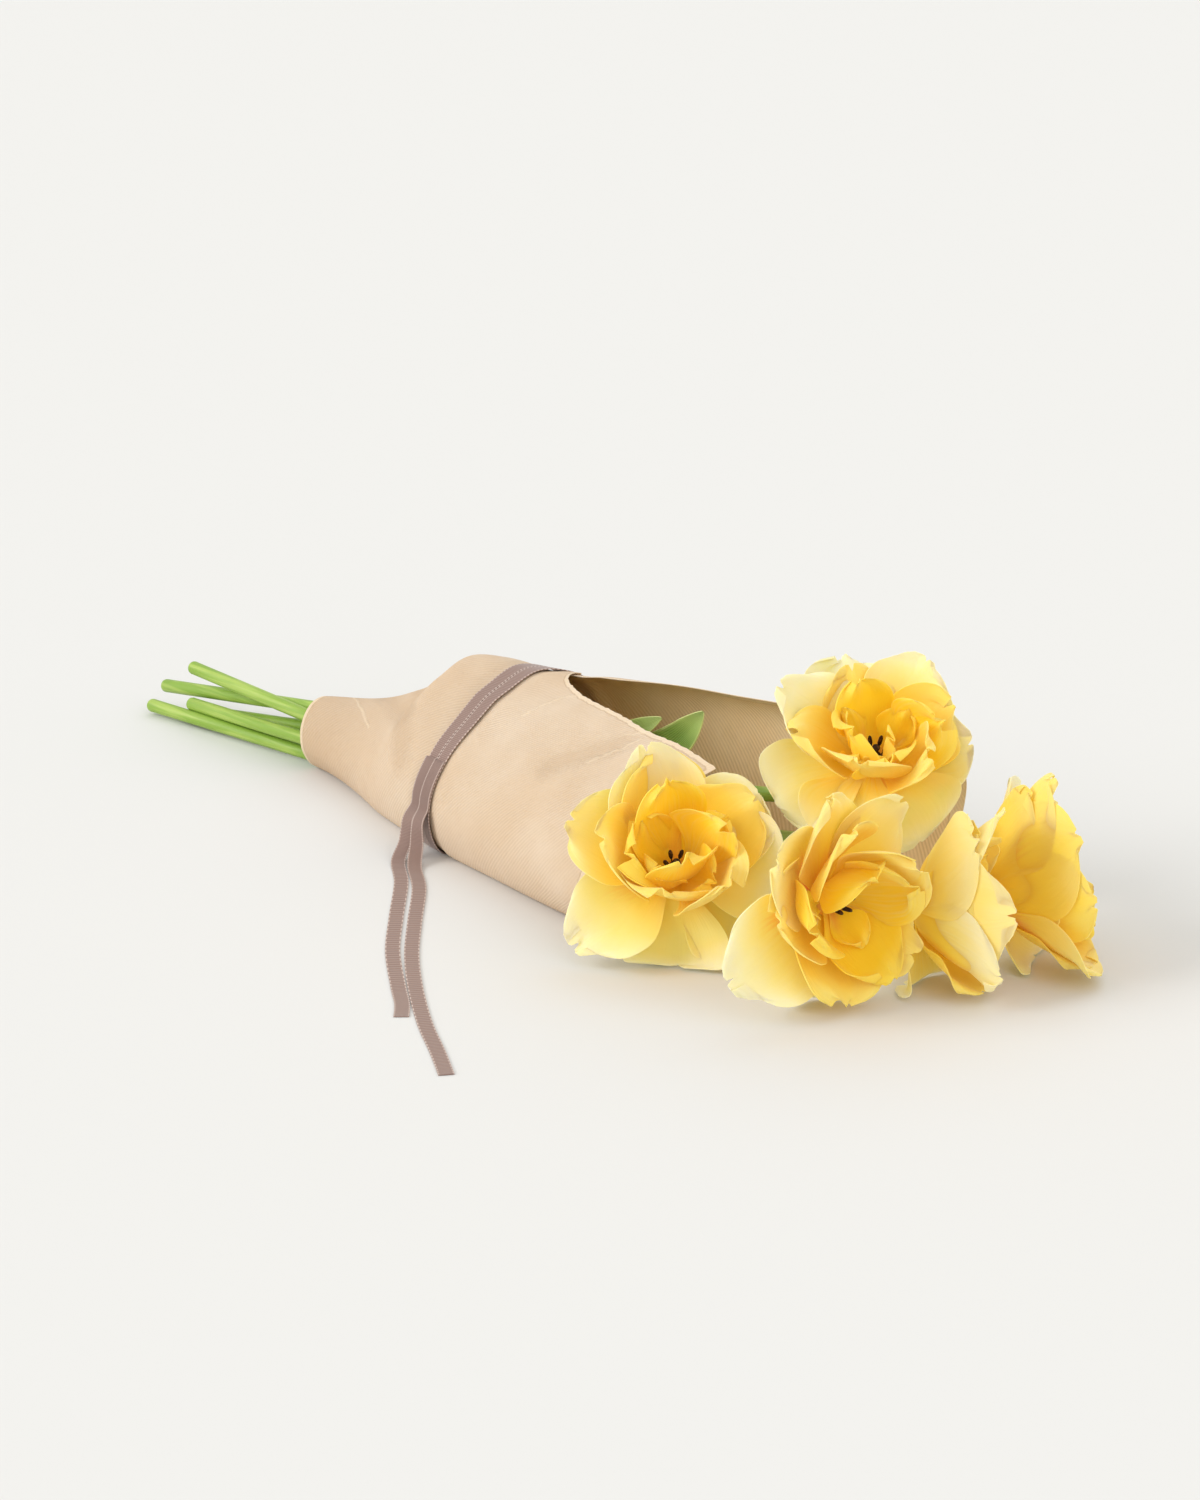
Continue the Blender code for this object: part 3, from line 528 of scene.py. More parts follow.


# The outside's painted shade darkens it near the neck and along its valleys.
OUTSIDE = PaperFinish("kraft_outside", light=linear(225, 202, 178), warm=linear(216, 188, 159),
                      brown=linear(182, 150, 117), rib_pitch=0.0018, rib_share=0.3, hem=0.3,
                      painted_depth_shade=0.5, deep=-0.02, mouth=0.13,
                      valleys=(((-0.062, 0.026), (-0.046, 0.096)),
                               ((-0.074, 0.070), (-0.024, 0.118)),
                               ((-0.094, 0.262), (-0.060, 0.232))),
                      creases=(((-0.082, 0.177), (-0.106, 0.187)),
                               ((-0.106, 0.187), (-0.118, 0.206)),
                               ((-0.095, 0.254), (-0.109, 0.272)),
                               ((-0.072, 0.252), (-0.098, 0.269)),
                               ((-0.046, 0.020), (-0.030, 0.062))))
# Painted light: the inside is kraft painted lighter, with painted shade deep in the wrap.
INSIDE = PaperFinish("kraft_inside", light=linear(252, 222, 184), warm=linear(246, 210, 168),
                     brown=linear(190, 148, 102), rib_pitch=0.0027, rib_share=0.45, hem=0.78,
                     painted_depth_shade=0.7, deep=0.14, mouth=0.215)


@dataclass(frozen=True)
class RibbonFinish:
    """Mauve grosgrain: close ribs across, a paler stitched edge and a dusty sheen."""

    rib_pitch: float = 0.0013
    edge: tuple[float, float] = (0.8, 0.86)
    weave: tuple[float, float] = (40.0, 1500.0)
    relief: float = 0.00012
    mauve: tuple = linear(170, 144, 134)
    light: tuple = linear(208, 188, 178)
    shade: tuple = linear(128, 102, 93)

    def material(self, name: str, length: float) -> bpy.types.Material:
        """Builds the finish for one ribbon.

        Args:
            name: The material's name.
            length: The ribbon's length in metres, which its UV map runs along once.

        Returns:
            The material.
        """
        paint = Paint(name)
        across, along = paint.sheet_places()
        metres = along * length
        rib = metres.stripes(self.rib_pitch)
        edge = across.off_middle().between(*self.edge)
        stitch = metres.stripes(2 * self.rib_pitch)
        crossed = paint.vector(across * self.weave[0], metres * self.weave[1])
        weave = paint.noise(crossed, 1.0)
        colour = paint.mix(rib * 0.55 + weave * 0.25, self.shade, self.mauve)
        colour = paint.mix(edge * stitch, colour, self.light)
        paint.bump(rib * (1.0 - edge) + edge * stitch, self.relief)
        return paint.end(Base_Color=colour, Roughness=0.6, Sheen_Weight=0.25,
                         Sheen_Roughness=0.4, Specular_IOR_Level=0.3)


@dataclass(frozen=True)
class FloorFinish:
    """A plain pale surface."""

    pale: tuple = linear(226, 226, 225)

    def material(self) -> bpy.types.Material:
        """Builds the plain finish."""
        return Paint("pale_floor").end(Base_Color=self.pale, Roughness=0.9,
                                       Specular_IOR_Level=0.1)


def deselect() -> None:
    """Leaves nothing selected."""
    for item in list(bpy.context.selected_objects):
        item.select_set(False)


def pick(item: bpy.types.Object) -> None:
    """Makes one object the only one selected, and the active one."""
    deselect()
    item.select_set(True)
    bpy.context.view_layer.objects.active = item


def vertex_table(item: bpy.types.Object) -> np.ndarray:
    """Every vertex of a mesh, one row each."""
    flat = np.empty(3 * len(item.data.vertices))
    item.data.vertices.foreach_get("co", flat)
    return flat.reshape(-1, 3)


def place_vertices(item: bpy.types.Object, points: np.ndarray) -> None:
    """Gives every vertex of a mesh its new place, in bunch millimetres."""
    item.data.vertices.foreach_set("co", np.ascontiguousarray(in_metres(points)).ravel())
    item.data.update()


def set_values(item: bpy.types.Object, **values: float | np.ndarray) -> None:
    """Gives the points of a mesh named values: one for each point, or one for them all."""
    for name, value in values.items():
        layer = item.data.attributes.new(name, "FLOAT", "POINT")
        layer.data.foreach_set("value", np.full(len(item.data.vertices), value))


def newest(name: str) -> bpy.types.Object:
    """The object that Blender made last, under its own name."""
    made = bpy.context.object
    made.name = name
    made.data.name = name
    return made


def flat_sheet(name: str, columns: int, rows: int) -> Sheet:
    """A flat sheet of cells, whose UV map runs from 0 to 1 both ways.

    Args:
        name: The piece's name.
        columns: Cells across it.
        rows: Cells along it.

    Returns:
        The sheet, and for each vertex its place across, from -1 to 1, and along, from 0 to 1.
    """
    deselect()
    bpy.ops.mesh.primitive_grid_add(x_subdivisions=columns, y_subdivisions=rows, size=2.0)
    sheet = newest(name)
    flat = vertex_table(sheet)
    return sheet, flat[:, 0], (flat[:, 1] + 1) / 2


def copy_of(item: bpy.types.Object) -> bpy.types.Object:
    """A copy with its own mesh."""
    twin = item.copy()
    twin.data = item.data.copy()
    bpy.context.scene.collection.objects.link(twin)
    return twin


def join(items: list[bpy.types.Object], name: str) -> bpy.types.Object:
    """Makes one object of several."""
    pick(items[0])
    for item in items:
        item.select_set(True)
    bpy.ops.object.join()
    return newest(name)


def dress(item: bpy.types.Object, sharp: float,
          *finishes: bpy.types.Material) -> bpy.types.Object:
    """Gives a piece its finishes, and shades it smooth but for edges past an angle in degrees."""
    for finish in finishes:
        item.data.materials.append(finish)
    pick(item)
    bpy.ops.object.shade_smooth_by_angle(angle=math.radians(sharp))
    return item


def thicken(sheet: bpy.types.Object, thick: float, sharp: float,
            *finishes: bpy.types.Material) -> bpy.types.Object:
    """Makes a closed blade of a sheet, grown both ways, and dresses it.

    Args:
        sheet: The sheet, laid in its final shape.
        thick: The blade's thickness in millimetres.
        sharp: The angle in degrees past which an edge stays sharp.
        finishes: One for the whole blade, or one for its front and one for its back.

    Returns:
        The blade.
    """
    for finish in finishes:
        sheet.data.materials.append(finish)
    pick(sheet)
    solidify = sheet.modifiers.new("thickness", "SOLIDIFY")
    solidify.thickness = thick * MM
    solidify.offset = 0.0
    solidify.material_offset = len(finishes) - 1
    bpy.ops.object.modifier_apply(modifier=solidify.name)
    return dress(sheet, sharp)


def tube(name: str, sides: int, route: np.ndarray, radii: np.ndarray) -> bpy.types.Object:
    """A cylinder that is cut into rings and laid along a route.

    Args:
        name: The piece's name.
        sides: Faces round it.
        route: One point for each ring, in bunch millimetres.
        radii: The radius at each ring.

    Returns:
        The closed tube.
    """
    deselect()
    bpy.ops.mesh.primitive_cylinder_add(vertices=sides, radius=1.0, depth=2.0)
    made = newest(name)
    upright = vertex_table(made)[:, 2]
    bpy.ops.object.mode_set(mode="EDIT")
    bpy.ops.mesh.select_mode(type="EDGE")
    bpy.ops.mesh.select_all(action="DESELECT")
    bpy.ops.object.mode_set(mode="OBJECT")
    for edge in made.data.edges:
        low, high = edge.vertices
        edge.select = bool(abs(upright[low] - upright[high]) > 1)
    bpy.ops.object.mode_set(mode="EDIT")
    bpy.ops.mesh.subdivide(number_cuts=len(route) - 2)
    bpy.ops.object.mode_set(mode="OBJECT")
    table = vertex_table(made)
    ring = np.rint((table[:, 2] + 1) / 2 * (len(route) - 1)).astype(int)
    ahead = unit(np.gradient(route, axis=0))
    level = unit(np.cross(ahead, (0.0, 0.0, 1.0)))
    across = np.cross(level, ahead)
    spread = level[ring] * table[:, :1] + across[ring] * table[:, 1:2]
    place_vertices(made, route[ring] + spread * radii[ring][:, None])
    return made


@dataclass(frozen=True)
class Whorl:
    """One whorl of petals: its size in millimetres, and its lean from the axis in degrees.

    curl says how soon a petal takes on its tip's lean, which flare adds to at the very tip, and
    spread how far both are drawn. cup is the radius of its hollow, tilt lays it over its
    neighbour, roll curls one side, and pleat and frill are its folds and its torn rim. root and
    root_radius place its foot, keep is how near it may come to a wall, and inner is its share
    of gold.
    """

    length: float
    width: float
    lean: float
    tip_lean: float
    curl: float
    cup: float
    root: float
    root_radius: float
    tilt: float
    keep: float
    inner: float
    frill: float
    roll: float
    spread: float
    pleat: float
    flare: float
    turn: float = 0.0
    count: int = 5


OUTER = Whorl(length=64, width=56, lean=74, tip_lean=110, curl=1.2, cup=44, root=0.0,
              root_radius=3.0, tilt=0.10, keep=0.9, inner=0.0, frill=0.7, roll=-5.0, spread=4,
              pleat=1.2, flare=0.0)
MIDDLE = Whorl(length=53, width=52, lean=84, tip_lean=20, curl=0.62, cup=34, root=1.2,
               root_radius=3.6, tilt=0.16, keep=2.6, inner=0.8, frill=0.8, roll=-8.0,
               spread=10, pleat=2.0, flare=24, turn=30)
INNER = Whorl(length=46, width=44, lean=70, tip_lean=6, curl=0.62, cup=28, root=2.4,
              root_radius=4.4, tilt=0.24, keep=4.4, inner=1.0, frill=0.8, roll=-6.0, spread=11,
              pleat=2.4, flare=16, turn=12, count=4)
# The scene's own small petals round the heart: parted, ruffled, or closed over it.
OPEN_CORE = Whorl(length=25, width=17, lean=66, tip_lean=26, curl=0.7, cup=16, root=3.4,
                  root_radius=4.8, tilt=0.5, keep=5.0, inner=1.0, frill=1.2, roll=4.0,
                  spread=16, pleat=1.4, flare=20, turn=50, count=3)
RUFFLED_CORE = replace(OPEN_CORE, length=33, width=27, lean=47, tip_lean=20, cup=18, tilt=0.3,
                       frill=1.3, roll=-5.0, spread=15, pleat=2.6, flare=28, turn=225, count=4)
CLOSED_CORE = replace(OPEN_CORE, length=35, width=27, lean=52, tip_lean=-14, curl=0.8, cup=17,
                      tilt=0.35, frill=0.9, roll=5.0, spread=12, pleat=1.6, flare=10, turn=20,
                      count=5)


class Petal:
    """One petal's own length, lean and ruffle, drawn from its flower's random numbers."""

    STEPS = 40           # along its middle line
    FLARE_START = 0.7    # the share of its length past which the tip flares, and is torn
    FOOT_WIDTH = 0.16    # its width at the root, as a share of its full width
    BELLY = 0.6          # the share of its length by which it has its full width
    TIP_START = 0.55     # the share of its length past which it narrows to the tip
    TIP_BLUNT = 0.96     # short of 1, the tip keeps a little of its width
    CORNER_CUT = 0.07    # how far the rim's corners fall back, as a share of its length
    TEETH = 0.03         # how far the rim is torn back, as a share of its length
    FLUTTER = 0.8        # how far the rim waves, in millimetres
    # Waves over the blade, in radians from its middle to a side edge, or from its root to its tip.
    CORNER_WAVE = 6.2
    TEETH_WAVES = (4.3, 10.7)
    SCALLOP_WAVE = 6.1
    PLEAT_WAVE = 5.2
    FLUTTER_WAVES = (8.0, 11.0)
    RUFFLE_WAVE = 1.5 * math.pi
    RUFFLE_SHIFT = 1.4

    def __init__(self, whorl: Whorl, turn: float, lean: float, tip_lean: float,
                 draws: np.random.Generator, size: float = 1.0) -> None:
        """Draws the petal's own values, in the order that the solid model draws them."""
        self.whorl = whorl
        self.azimuth = math.radians(turn + draws.uniform(-6, 6))
        self.length = size * whorl.length * draws.uniform(0.93, 1.06)
        self.half_width = 0.5 * size * whorl.width * draws.uniform(0.92, 1.08)
        self.lean = math.radians(lean + whorl.spread * draws.uniform(-1, 1))
        self.tip_lean = math.radians(tip_lean + 2 * whorl.spread * draws.uniform(-1, 1))
        self.tilt = whorl.tilt * draws.uniform(0.8, 1.2)
        self.wave = draws.uniform(1.5, 3.0)
        self.phase = draws.uniform(0, 2 * math.pi)
        self.notch = draws.uniform(0, 2 * math.pi)
        self.roll = whorl.roll * draws.uniform(0.2, 1.0)
        self.rolled_side = 1 if draws.random() < 0.5 else -1
        self.torn = 1.0
        self.inner = whorl.inner

    def _reach(self, across: np.ndarray, along: np.ndarray) -> np.ndarray:
        """How far up the petal a place lies, with the rim's corners and teeth cut back."""
        wide, fine = self.TEETH_WAVES
        corner = across ** 2 + 0.6 * np.sin(self.CORNER_WAVE * across + self.notch)
        steady = np.sin(wide * across + self.notch) * np.sin(fine * across + self.phase)
        scallop = 1 - np.abs(np.sin(self.SCALLOP_WAVE * across + 2 * self.phase)) ** 0.6
        teeth = self.TEETH * self.whorl.frill * self.torn * (steady + 1.3 * scallop)
        return (along * (1 - self.CORNER_CUT * along * corner)
                - teeth * rise_from(along, self.FLARE_START))

    def _side(self, across: np.ndarray, along: np.ndarray) -> np.ndarray:
        """How far to one side of the middle line a place lies, along the blade."""
        swell = smooth_step(along / self.BELLY + 0.04)
        swell = self.FOOT_WIDTH + (1 - self.FOOT_WIDTH) * swell
        narrowed = np.clip((along - self.TIP_START) / (1 - self.TIP_START), 0, 1) ** 2.4
        return across * self.half_width * swell * np.sqrt(1 - self.TIP_BLUNT * narrowed)

    def _profile(self, reach: np.ndarray) -> list[np.ndarray]:
        """The middle line's lean, distance from the axis and height, that far up it."""
        whorl = self.whorl
        steps = np.linspace(0, 1, self.STEPS + 1)
        leans = self.lean + (self.tip_lean - self.lean) * steps ** whorl.curl
        leans = leans + math.radians(whorl.flare) * rise_from(steps, self.FLARE_START)
        middles = 0.5 * (leans[1:] + leans[:-1])
        step = self.length / self.STEPS
        radii = whorl.root_radius + np.concatenate(((0,), np.cumsum(np.sin(middles)))) * step
        heights = whorl.root + np.concatenate(((0,), np.cumsum(np.cos(middles)))) * step
        return [np.interp(reach, steps, line) for line in (leans, radii, heights)]

    def _inward(self, across: np.ndarray, along: np.ndarray, side: np.ndarray) -> np.ndarray:
        """How far the blade stands in from its middle line, by its cup, waves and pleats."""
        whorl = self.whorl
        shift = self.phase + self.RUFFLE_SHIFT * np.sign(across)
        ruffle = np.sin(self.RUFFLE_WAVE * along + shift)
        rim = np.maximum(np.abs(across) ** 6, rise_from(along, 0.8))
        sideways, upwards = self.FLUTTER_WAVES
        flutter = (np.sin(sideways * across + self.phase)
                   * np.sin(upwards * along + self.notch))
        return (whorl.cup * (1 - np.cos(side / whorl.cup))
                + self.tilt * side * smooth_step(along * 3)
                + self.wave * along * np.abs(across) ** 1.5 * ruffle
                + self.roll * along * np.maximum(across * self.rolled_side, 0) ** 2.2
                + whorl.pleat * np.cos(self.PLEAT_WAVE * across + self.phase) * along ** 1.4
                + self.FLUTTER * self.torn * rim * flutter * smooth_step(along * 2 - 0.4))

    def local_points(self, across: np.ndarray, along: np.ndarray) -> np.ndarray:
        """The petal's surface in its flower's frame, whose Z is the axis.

        Args:
            across: From one side edge, -1, to the other, 1.
            along: From the root, 0, to the tip, 1.

        Returns:
            One point for each pair, in millimetres.
        """
        lean, radius, height = self._profile(self._reach(across, along))
        side = self._side(across, along)
        sideways = self.whorl.cup * np.sin(side / self.whorl.cup)
        inward = self._inward(across, along, side)
        radius = radius - inward * np.cos(lean)
        height = height + inward * np.sin(lean)
        x = radius * math.cos(self.azimuth) - sideways * math.sin(self.azimuth)
        y = radius * math.sin(self.azimuth) + sideways * math.cos(self.azimuth)
        return np.stack((x, y, height), -1)


@dataclass
class Head:
    """One double bloom: where it sits, which way it faces, and what its petals keep to.

    Each outer petal is given by its turn, its lean, its tip's lean and its share of gold. nod
    leans the other petals by so many degrees towards one side, and golden is their size. A wall
    is a plane that the petals stay behind, by a point on it and the way that it faces. torn and
    blush are the ranges that a petal's torn rim and its blush are drawn from, and blushed is the
    share of petals that have a blush.
    """

    index: int
    centre: Point
    face: Point
    outer: tuple[tuple[float, float, float, float], ...]
    nod: tuple[float, float]
    walls: tuple[tuple[Point, Point], ...] = ()
    depth: float = 22.0
    margin: float = 11.0
    soft_margin: float = 15.0
    scale: float = 1.0
    golden: float = 1.0
    core: Whorl = CLOSED_CORE
    petal_cells: tuple[int, int] = (26, 26)
    petal_thick: float = 0.5
    receptacle: tuple[float, float] = (7.5, 4.5)
    receptacle_taper: float = 0.18
    petal_seed: int = 40
    colour_seed: int = 70
    rim_seed: int = 90
    torn: tuple[float, float] = (0.1, 1.7)
    blush: tuple[float, float] = (0.2, 1.0)
    blushed: float = 0.5
    planes: list = field(default_factory=list)

    @property
    def name(self) -> str:
        """The name of the node that the head stands for."""
        return f"bloom_{self.index + 1}"

    @property
    def axis(self) -> np.ndarray:
        """The way that the head faces, of length 1."""
        return unit(np.array(self.face))

    @property
    def base(self) -> np.ndarray:
        """The middle of the receptacle."""
        return np.array(self.centre, dtype=float) - self.axis * self.depth

    def frame_rows(self) -> np.ndarray:
        """The head's own axes, one in each column."""
        level = unit(np.cross((0.0, 0.0, 1.0), self.axis))
        return np.stack((level, np.cross(self.axis, level), self.axis), -1)

    def keep_behind(self, point: Point, normal: Point, margin: float) -> None:
        """Petals stay on the side of the plane that the normal points away from."""
        row = unit(np.array(normal, dtype=float))
        self.planes.append((np.array(point, dtype=float), row, margin))

    def place(self, local: np.ndarray, keep: float) -> np.ndarray:
        """From the head's frame to the bunch, bent clear of its neighbours.

        Args:
            local: Points in the head's own frame.
            keep: How near the points may come to a plane.

        Returns:
            The points in bunch millimetres.
        """
        points = self.base + self.scale * local @ self.frame_rows().T
        for point, normal, margin in self.planes:
            room = margin - keep
            past = np.maximum((points - point) @ normal + margin, 0)
            eased = room * (1 - np.exp(-past / room))
            points = points + (eased - past)[:, None] * normal
        return points

    def petals(self) -> list[Petal]:
        """Every petal of the head, with its own random values."""
        draws = np.random.default_rng(self.petal_seed + self.index)
        made = []
        for turn, lean, tip_lean, tint in self.outer:
            made.append(Petal(OUTER, turn, lean, tip_lean, draws))
            made[-1].inner = tint
        amount, way = self.nod
        for whorl in (MIDDLE, INNER, self.core):
            for place in range(whorl.count):
                turn = whorl.turn + 360.0 * place / whorl.count
                nod = amount * math.cos(math.radians(turn - way))
                made.append(Petal(whorl, turn, whorl.lean + nod, whorl.tip_lean + 1.5 * nod,
                                  draws, self.golden))
        rims = np.random.default_rng(self.rim_seed + self.index)
        for petal in made:
            petal.torn = rims.uniform(*self.torn)
        return made

    def build(self, silk: bpy.types.Material) -> bpy.types.Object:
        """Makes the head's petals as one piece."""
        first, across, along = flat_sheet("petal", *self.petal_cells)
        draws = np.random.default_rng(self.colour_seed + self.index)
        sheets = []
        for petal in self.petals():
            sheet = copy_of(first)
            place_vertices(sheet, self.place(petal.local_points(across, along),
                                             petal.whorl.keep))
            blush = draws.uniform(*self.blush) * (draws.random() < self.blushed)
            set_values(sheet, inner=petal.inner, tone=draws.random(),
                       blush=blush * (1 - 0.6 * petal.whorl.inner))
            sheets.append(sheet)
        bpy.data.objects.remove(first)
        return thicken(join(sheets, f"{self.name}_petals"), self.petal_thick, 50, silk)

    def build_receptacle(self, finish: bpy.types.Material) -> bpy.types.Object:
        """Makes the knob that the petals grow from."""
        deselect()
        bpy.ops.mesh.primitive_uv_sphere_add(segments=24, ring_count=14, radius=1.0)
        knob = newest(f"{self.name}_receptacle")
        wide, high = self.receptacle
        ball = vertex_table(knob)
        set_values(knob, rise=ball[:, 2])
        narrowed = 1 - self.receptacle_taper * smooth_step(-ball[:, 2:])
        local = ball * np.hstack((wide * narrowed, wide * narrowed, np.full_like(narrowed, high)))
        place_vertices(knob, self.base + local @ self.frame_rows().T)
        return dress(knob, 60, finish)


@dataclass
class Heart:
    """The pistil in the middle of a head, with six dark stamens round it.

    A rod's profile is given as (share of its height, radius), from its foot to its tip.
    """

    head: Head
    foot: Stations = ((0.0, 2.6), (0.2, 3.6), (0.7, 3.6), (1.0, 2.8))
    foot_height: float = 2.5
    pistil: Stations = ((0.0, 1.4), (0.3, 1.7), (0.75, 1.5), (0.86, 1.9), (0.95, 2.1), (1.0, 1.4))
    pistil_height: float = 11.0
    stamen: Stations = ((0.0, 0.35), (0.42, 0.3), (0.46, 0.75), (0.6, 1.15), (0.85, 1.1),
                        (0.96, 0.7), (1.0, 0.3))
    stamen_height: float = 13.0
    stamens: int = 6
    stamen_ring: tuple[float, float] = (2.5, 6.2)
    sunk: float = 1.0
    gap: float = 0.3

    def _rod(self, low: Point, high: Point, profile: Stations, sides: int) -> bpy.types.Object:
        """A turned rod between two points over the receptacle, in the head's frame."""
        shares, radii = np.array(profile).T
        floor = self.head.receptacle[1] + self.gap
        ends = np.array((low, high)) + (0.0, 0.0, floor)
        local = ends[0] + (ends[1] - ends[0]) * shares[:, None]
        route = self.head.base + local @ self.head.frame_rows().T
        return tube("rod", sides, route, radii)

    def build(self, brown: bpy.types.Material) -> bpy.types.Object:
        """Makes the pistil and its stamens as one piece."""
        parts = [self._rod((0, 0, 0), (0, 0, self.foot_height), self.foot, 20),
                 self._rod((0, 0, self.sunk), (0, 0, self.pistil_height), self.pistil, 12)]
        for index in range(self.stamens):
            angle = 2 * math.pi * index / self.stamens
            low, high = ((radius * math.cos(angle), radius * math.sin(angle))
                         for radius in self.stamen_ring)
            parts.append(self._rod((*low, self.sunk), (*high, self.stamen_height),
                                   self.stamen, 10))
        return dress(join(parts, f"heart_{self.head.index + 1}_stamens"), 60, brown)


@dataclass(frozen=True)
class Leaf:
    """A leaf: which knot of its stem it grows from, its tip, its width and its facing.

    pull is how far it follows its stem. foot is its width where it grows, as a share of width.
    """

    start: int
    pull: float
    tip: Point
    width: float
    faces: Point
    cells: tuple[int, int] = (16, 60)
    thick: float = 0.6
    foot: float = 0.22
    belly: float = 0.85
    taper: float = 0.94
    fold: float = 0.35
    tip_start: float = 0.84
    tip_blunt: float = 0.985

    def build(self, name: str, route: np.ndarray,
              green: bpy.types.Material) -> bpy.types.Object:
        """Makes the blade: a narrow foot in the stem, then a folded, blunt-tipped blade.

        Args:
            name: The piece's name.
            route: The knots of its stem.
            green: Its finish.

        Returns:
            The closed blade.
        """
        root = route[self.start]
        pulls = (root, root + unit(route[self.start + 1] - root) * self.pull, self.tip)
        sheet, side, along = flat_sheet(name, *self.cells)
        side, along = side[:, None], along[:, None]
        middle = bezier(pulls, along)
        ahead = unit(bezier(pulls, along + 0.01) - middle)
        sideways = unit(np.cross(self.faces, ahead))
        swell = np.sin(math.pi * np.minimum(along, 1.0) ** self.belly * self.taper)
        tip = np.clip((along - self.tip_start) / (1 - self.tip_start), 0.0, self.tip_blunt)
        half = 0.5 * self.width * (self.foot + (1 - self.foot) * swell) * np.sqrt(1 - tip ** 2)
        lifted = np.cross(ahead, sideways) * self.fold * half * np.abs(side) ** 1.5
        place_vertices(sheet, middle + sideways * half * side + lifted)
        return thicken(sheet, self.thick, 50, green)


@dataclass
class Stem:
    """A stem from its cut end through the wrap's neck to under its head, with its leaves.

    It runs straight from end to neck, and from there it is pulled by before and under. cut_end
    rounds its cut end over, by (distance from the end, radius there), both as shares of the
    stem's radius.
    """

    head: Head
    end: Point
    neck: Point
    before: Point
    under: Point
    leaves: tuple[Leaf, ...] = ()
    radius: float = 3.9
    sides: int = 20
    rings: int = 91
    gap: float = 0.6
    square: float = 20.0
    cut_end: Stations = ((0.0, 0.55), (0.1, 0.8), (0.3, 0.95), (0.65, 1.02))

    def knots(self) -> np.ndarray:
        """The stem's middle line, as the solid model has it."""
        top = self.head.base - self.head.axis * (self.head.receptacle[1] + self.gap)
        square = top - self.head.axis * self.square
        outer = bezier((self.end, self.neck), np.linspace(0, 1, 4)[:-1, None])
        pulls = (self.neck, self.before, self.under, square, top)
        return np.vstack((outer, bezier(pulls, np.linspace(0, 1, 13)[:, None])))

    def build(self, green: bpy.types.Material) -> bpy.types.Object:
        """Makes the stem, with its cut end rounded over."""
        knots = self.knots()
        route = through(knots, np.linspace(0, len(knots) - 1, self.rings), closed=False)
        off, wide = self.radius * np.array(self.cut_end).T
        ends = route[0] + unit(route[1] - route[0]) * off[:, None]
        radii = np.concatenate((wide, np.full(self.rings - 1, self.radius)))
        stem = tube(f"stem_{self.head.index + 1}_stalk", self.sides,
                    np.vstack((ends, route[1:])), radii)
        return dress(stem, 40, green)


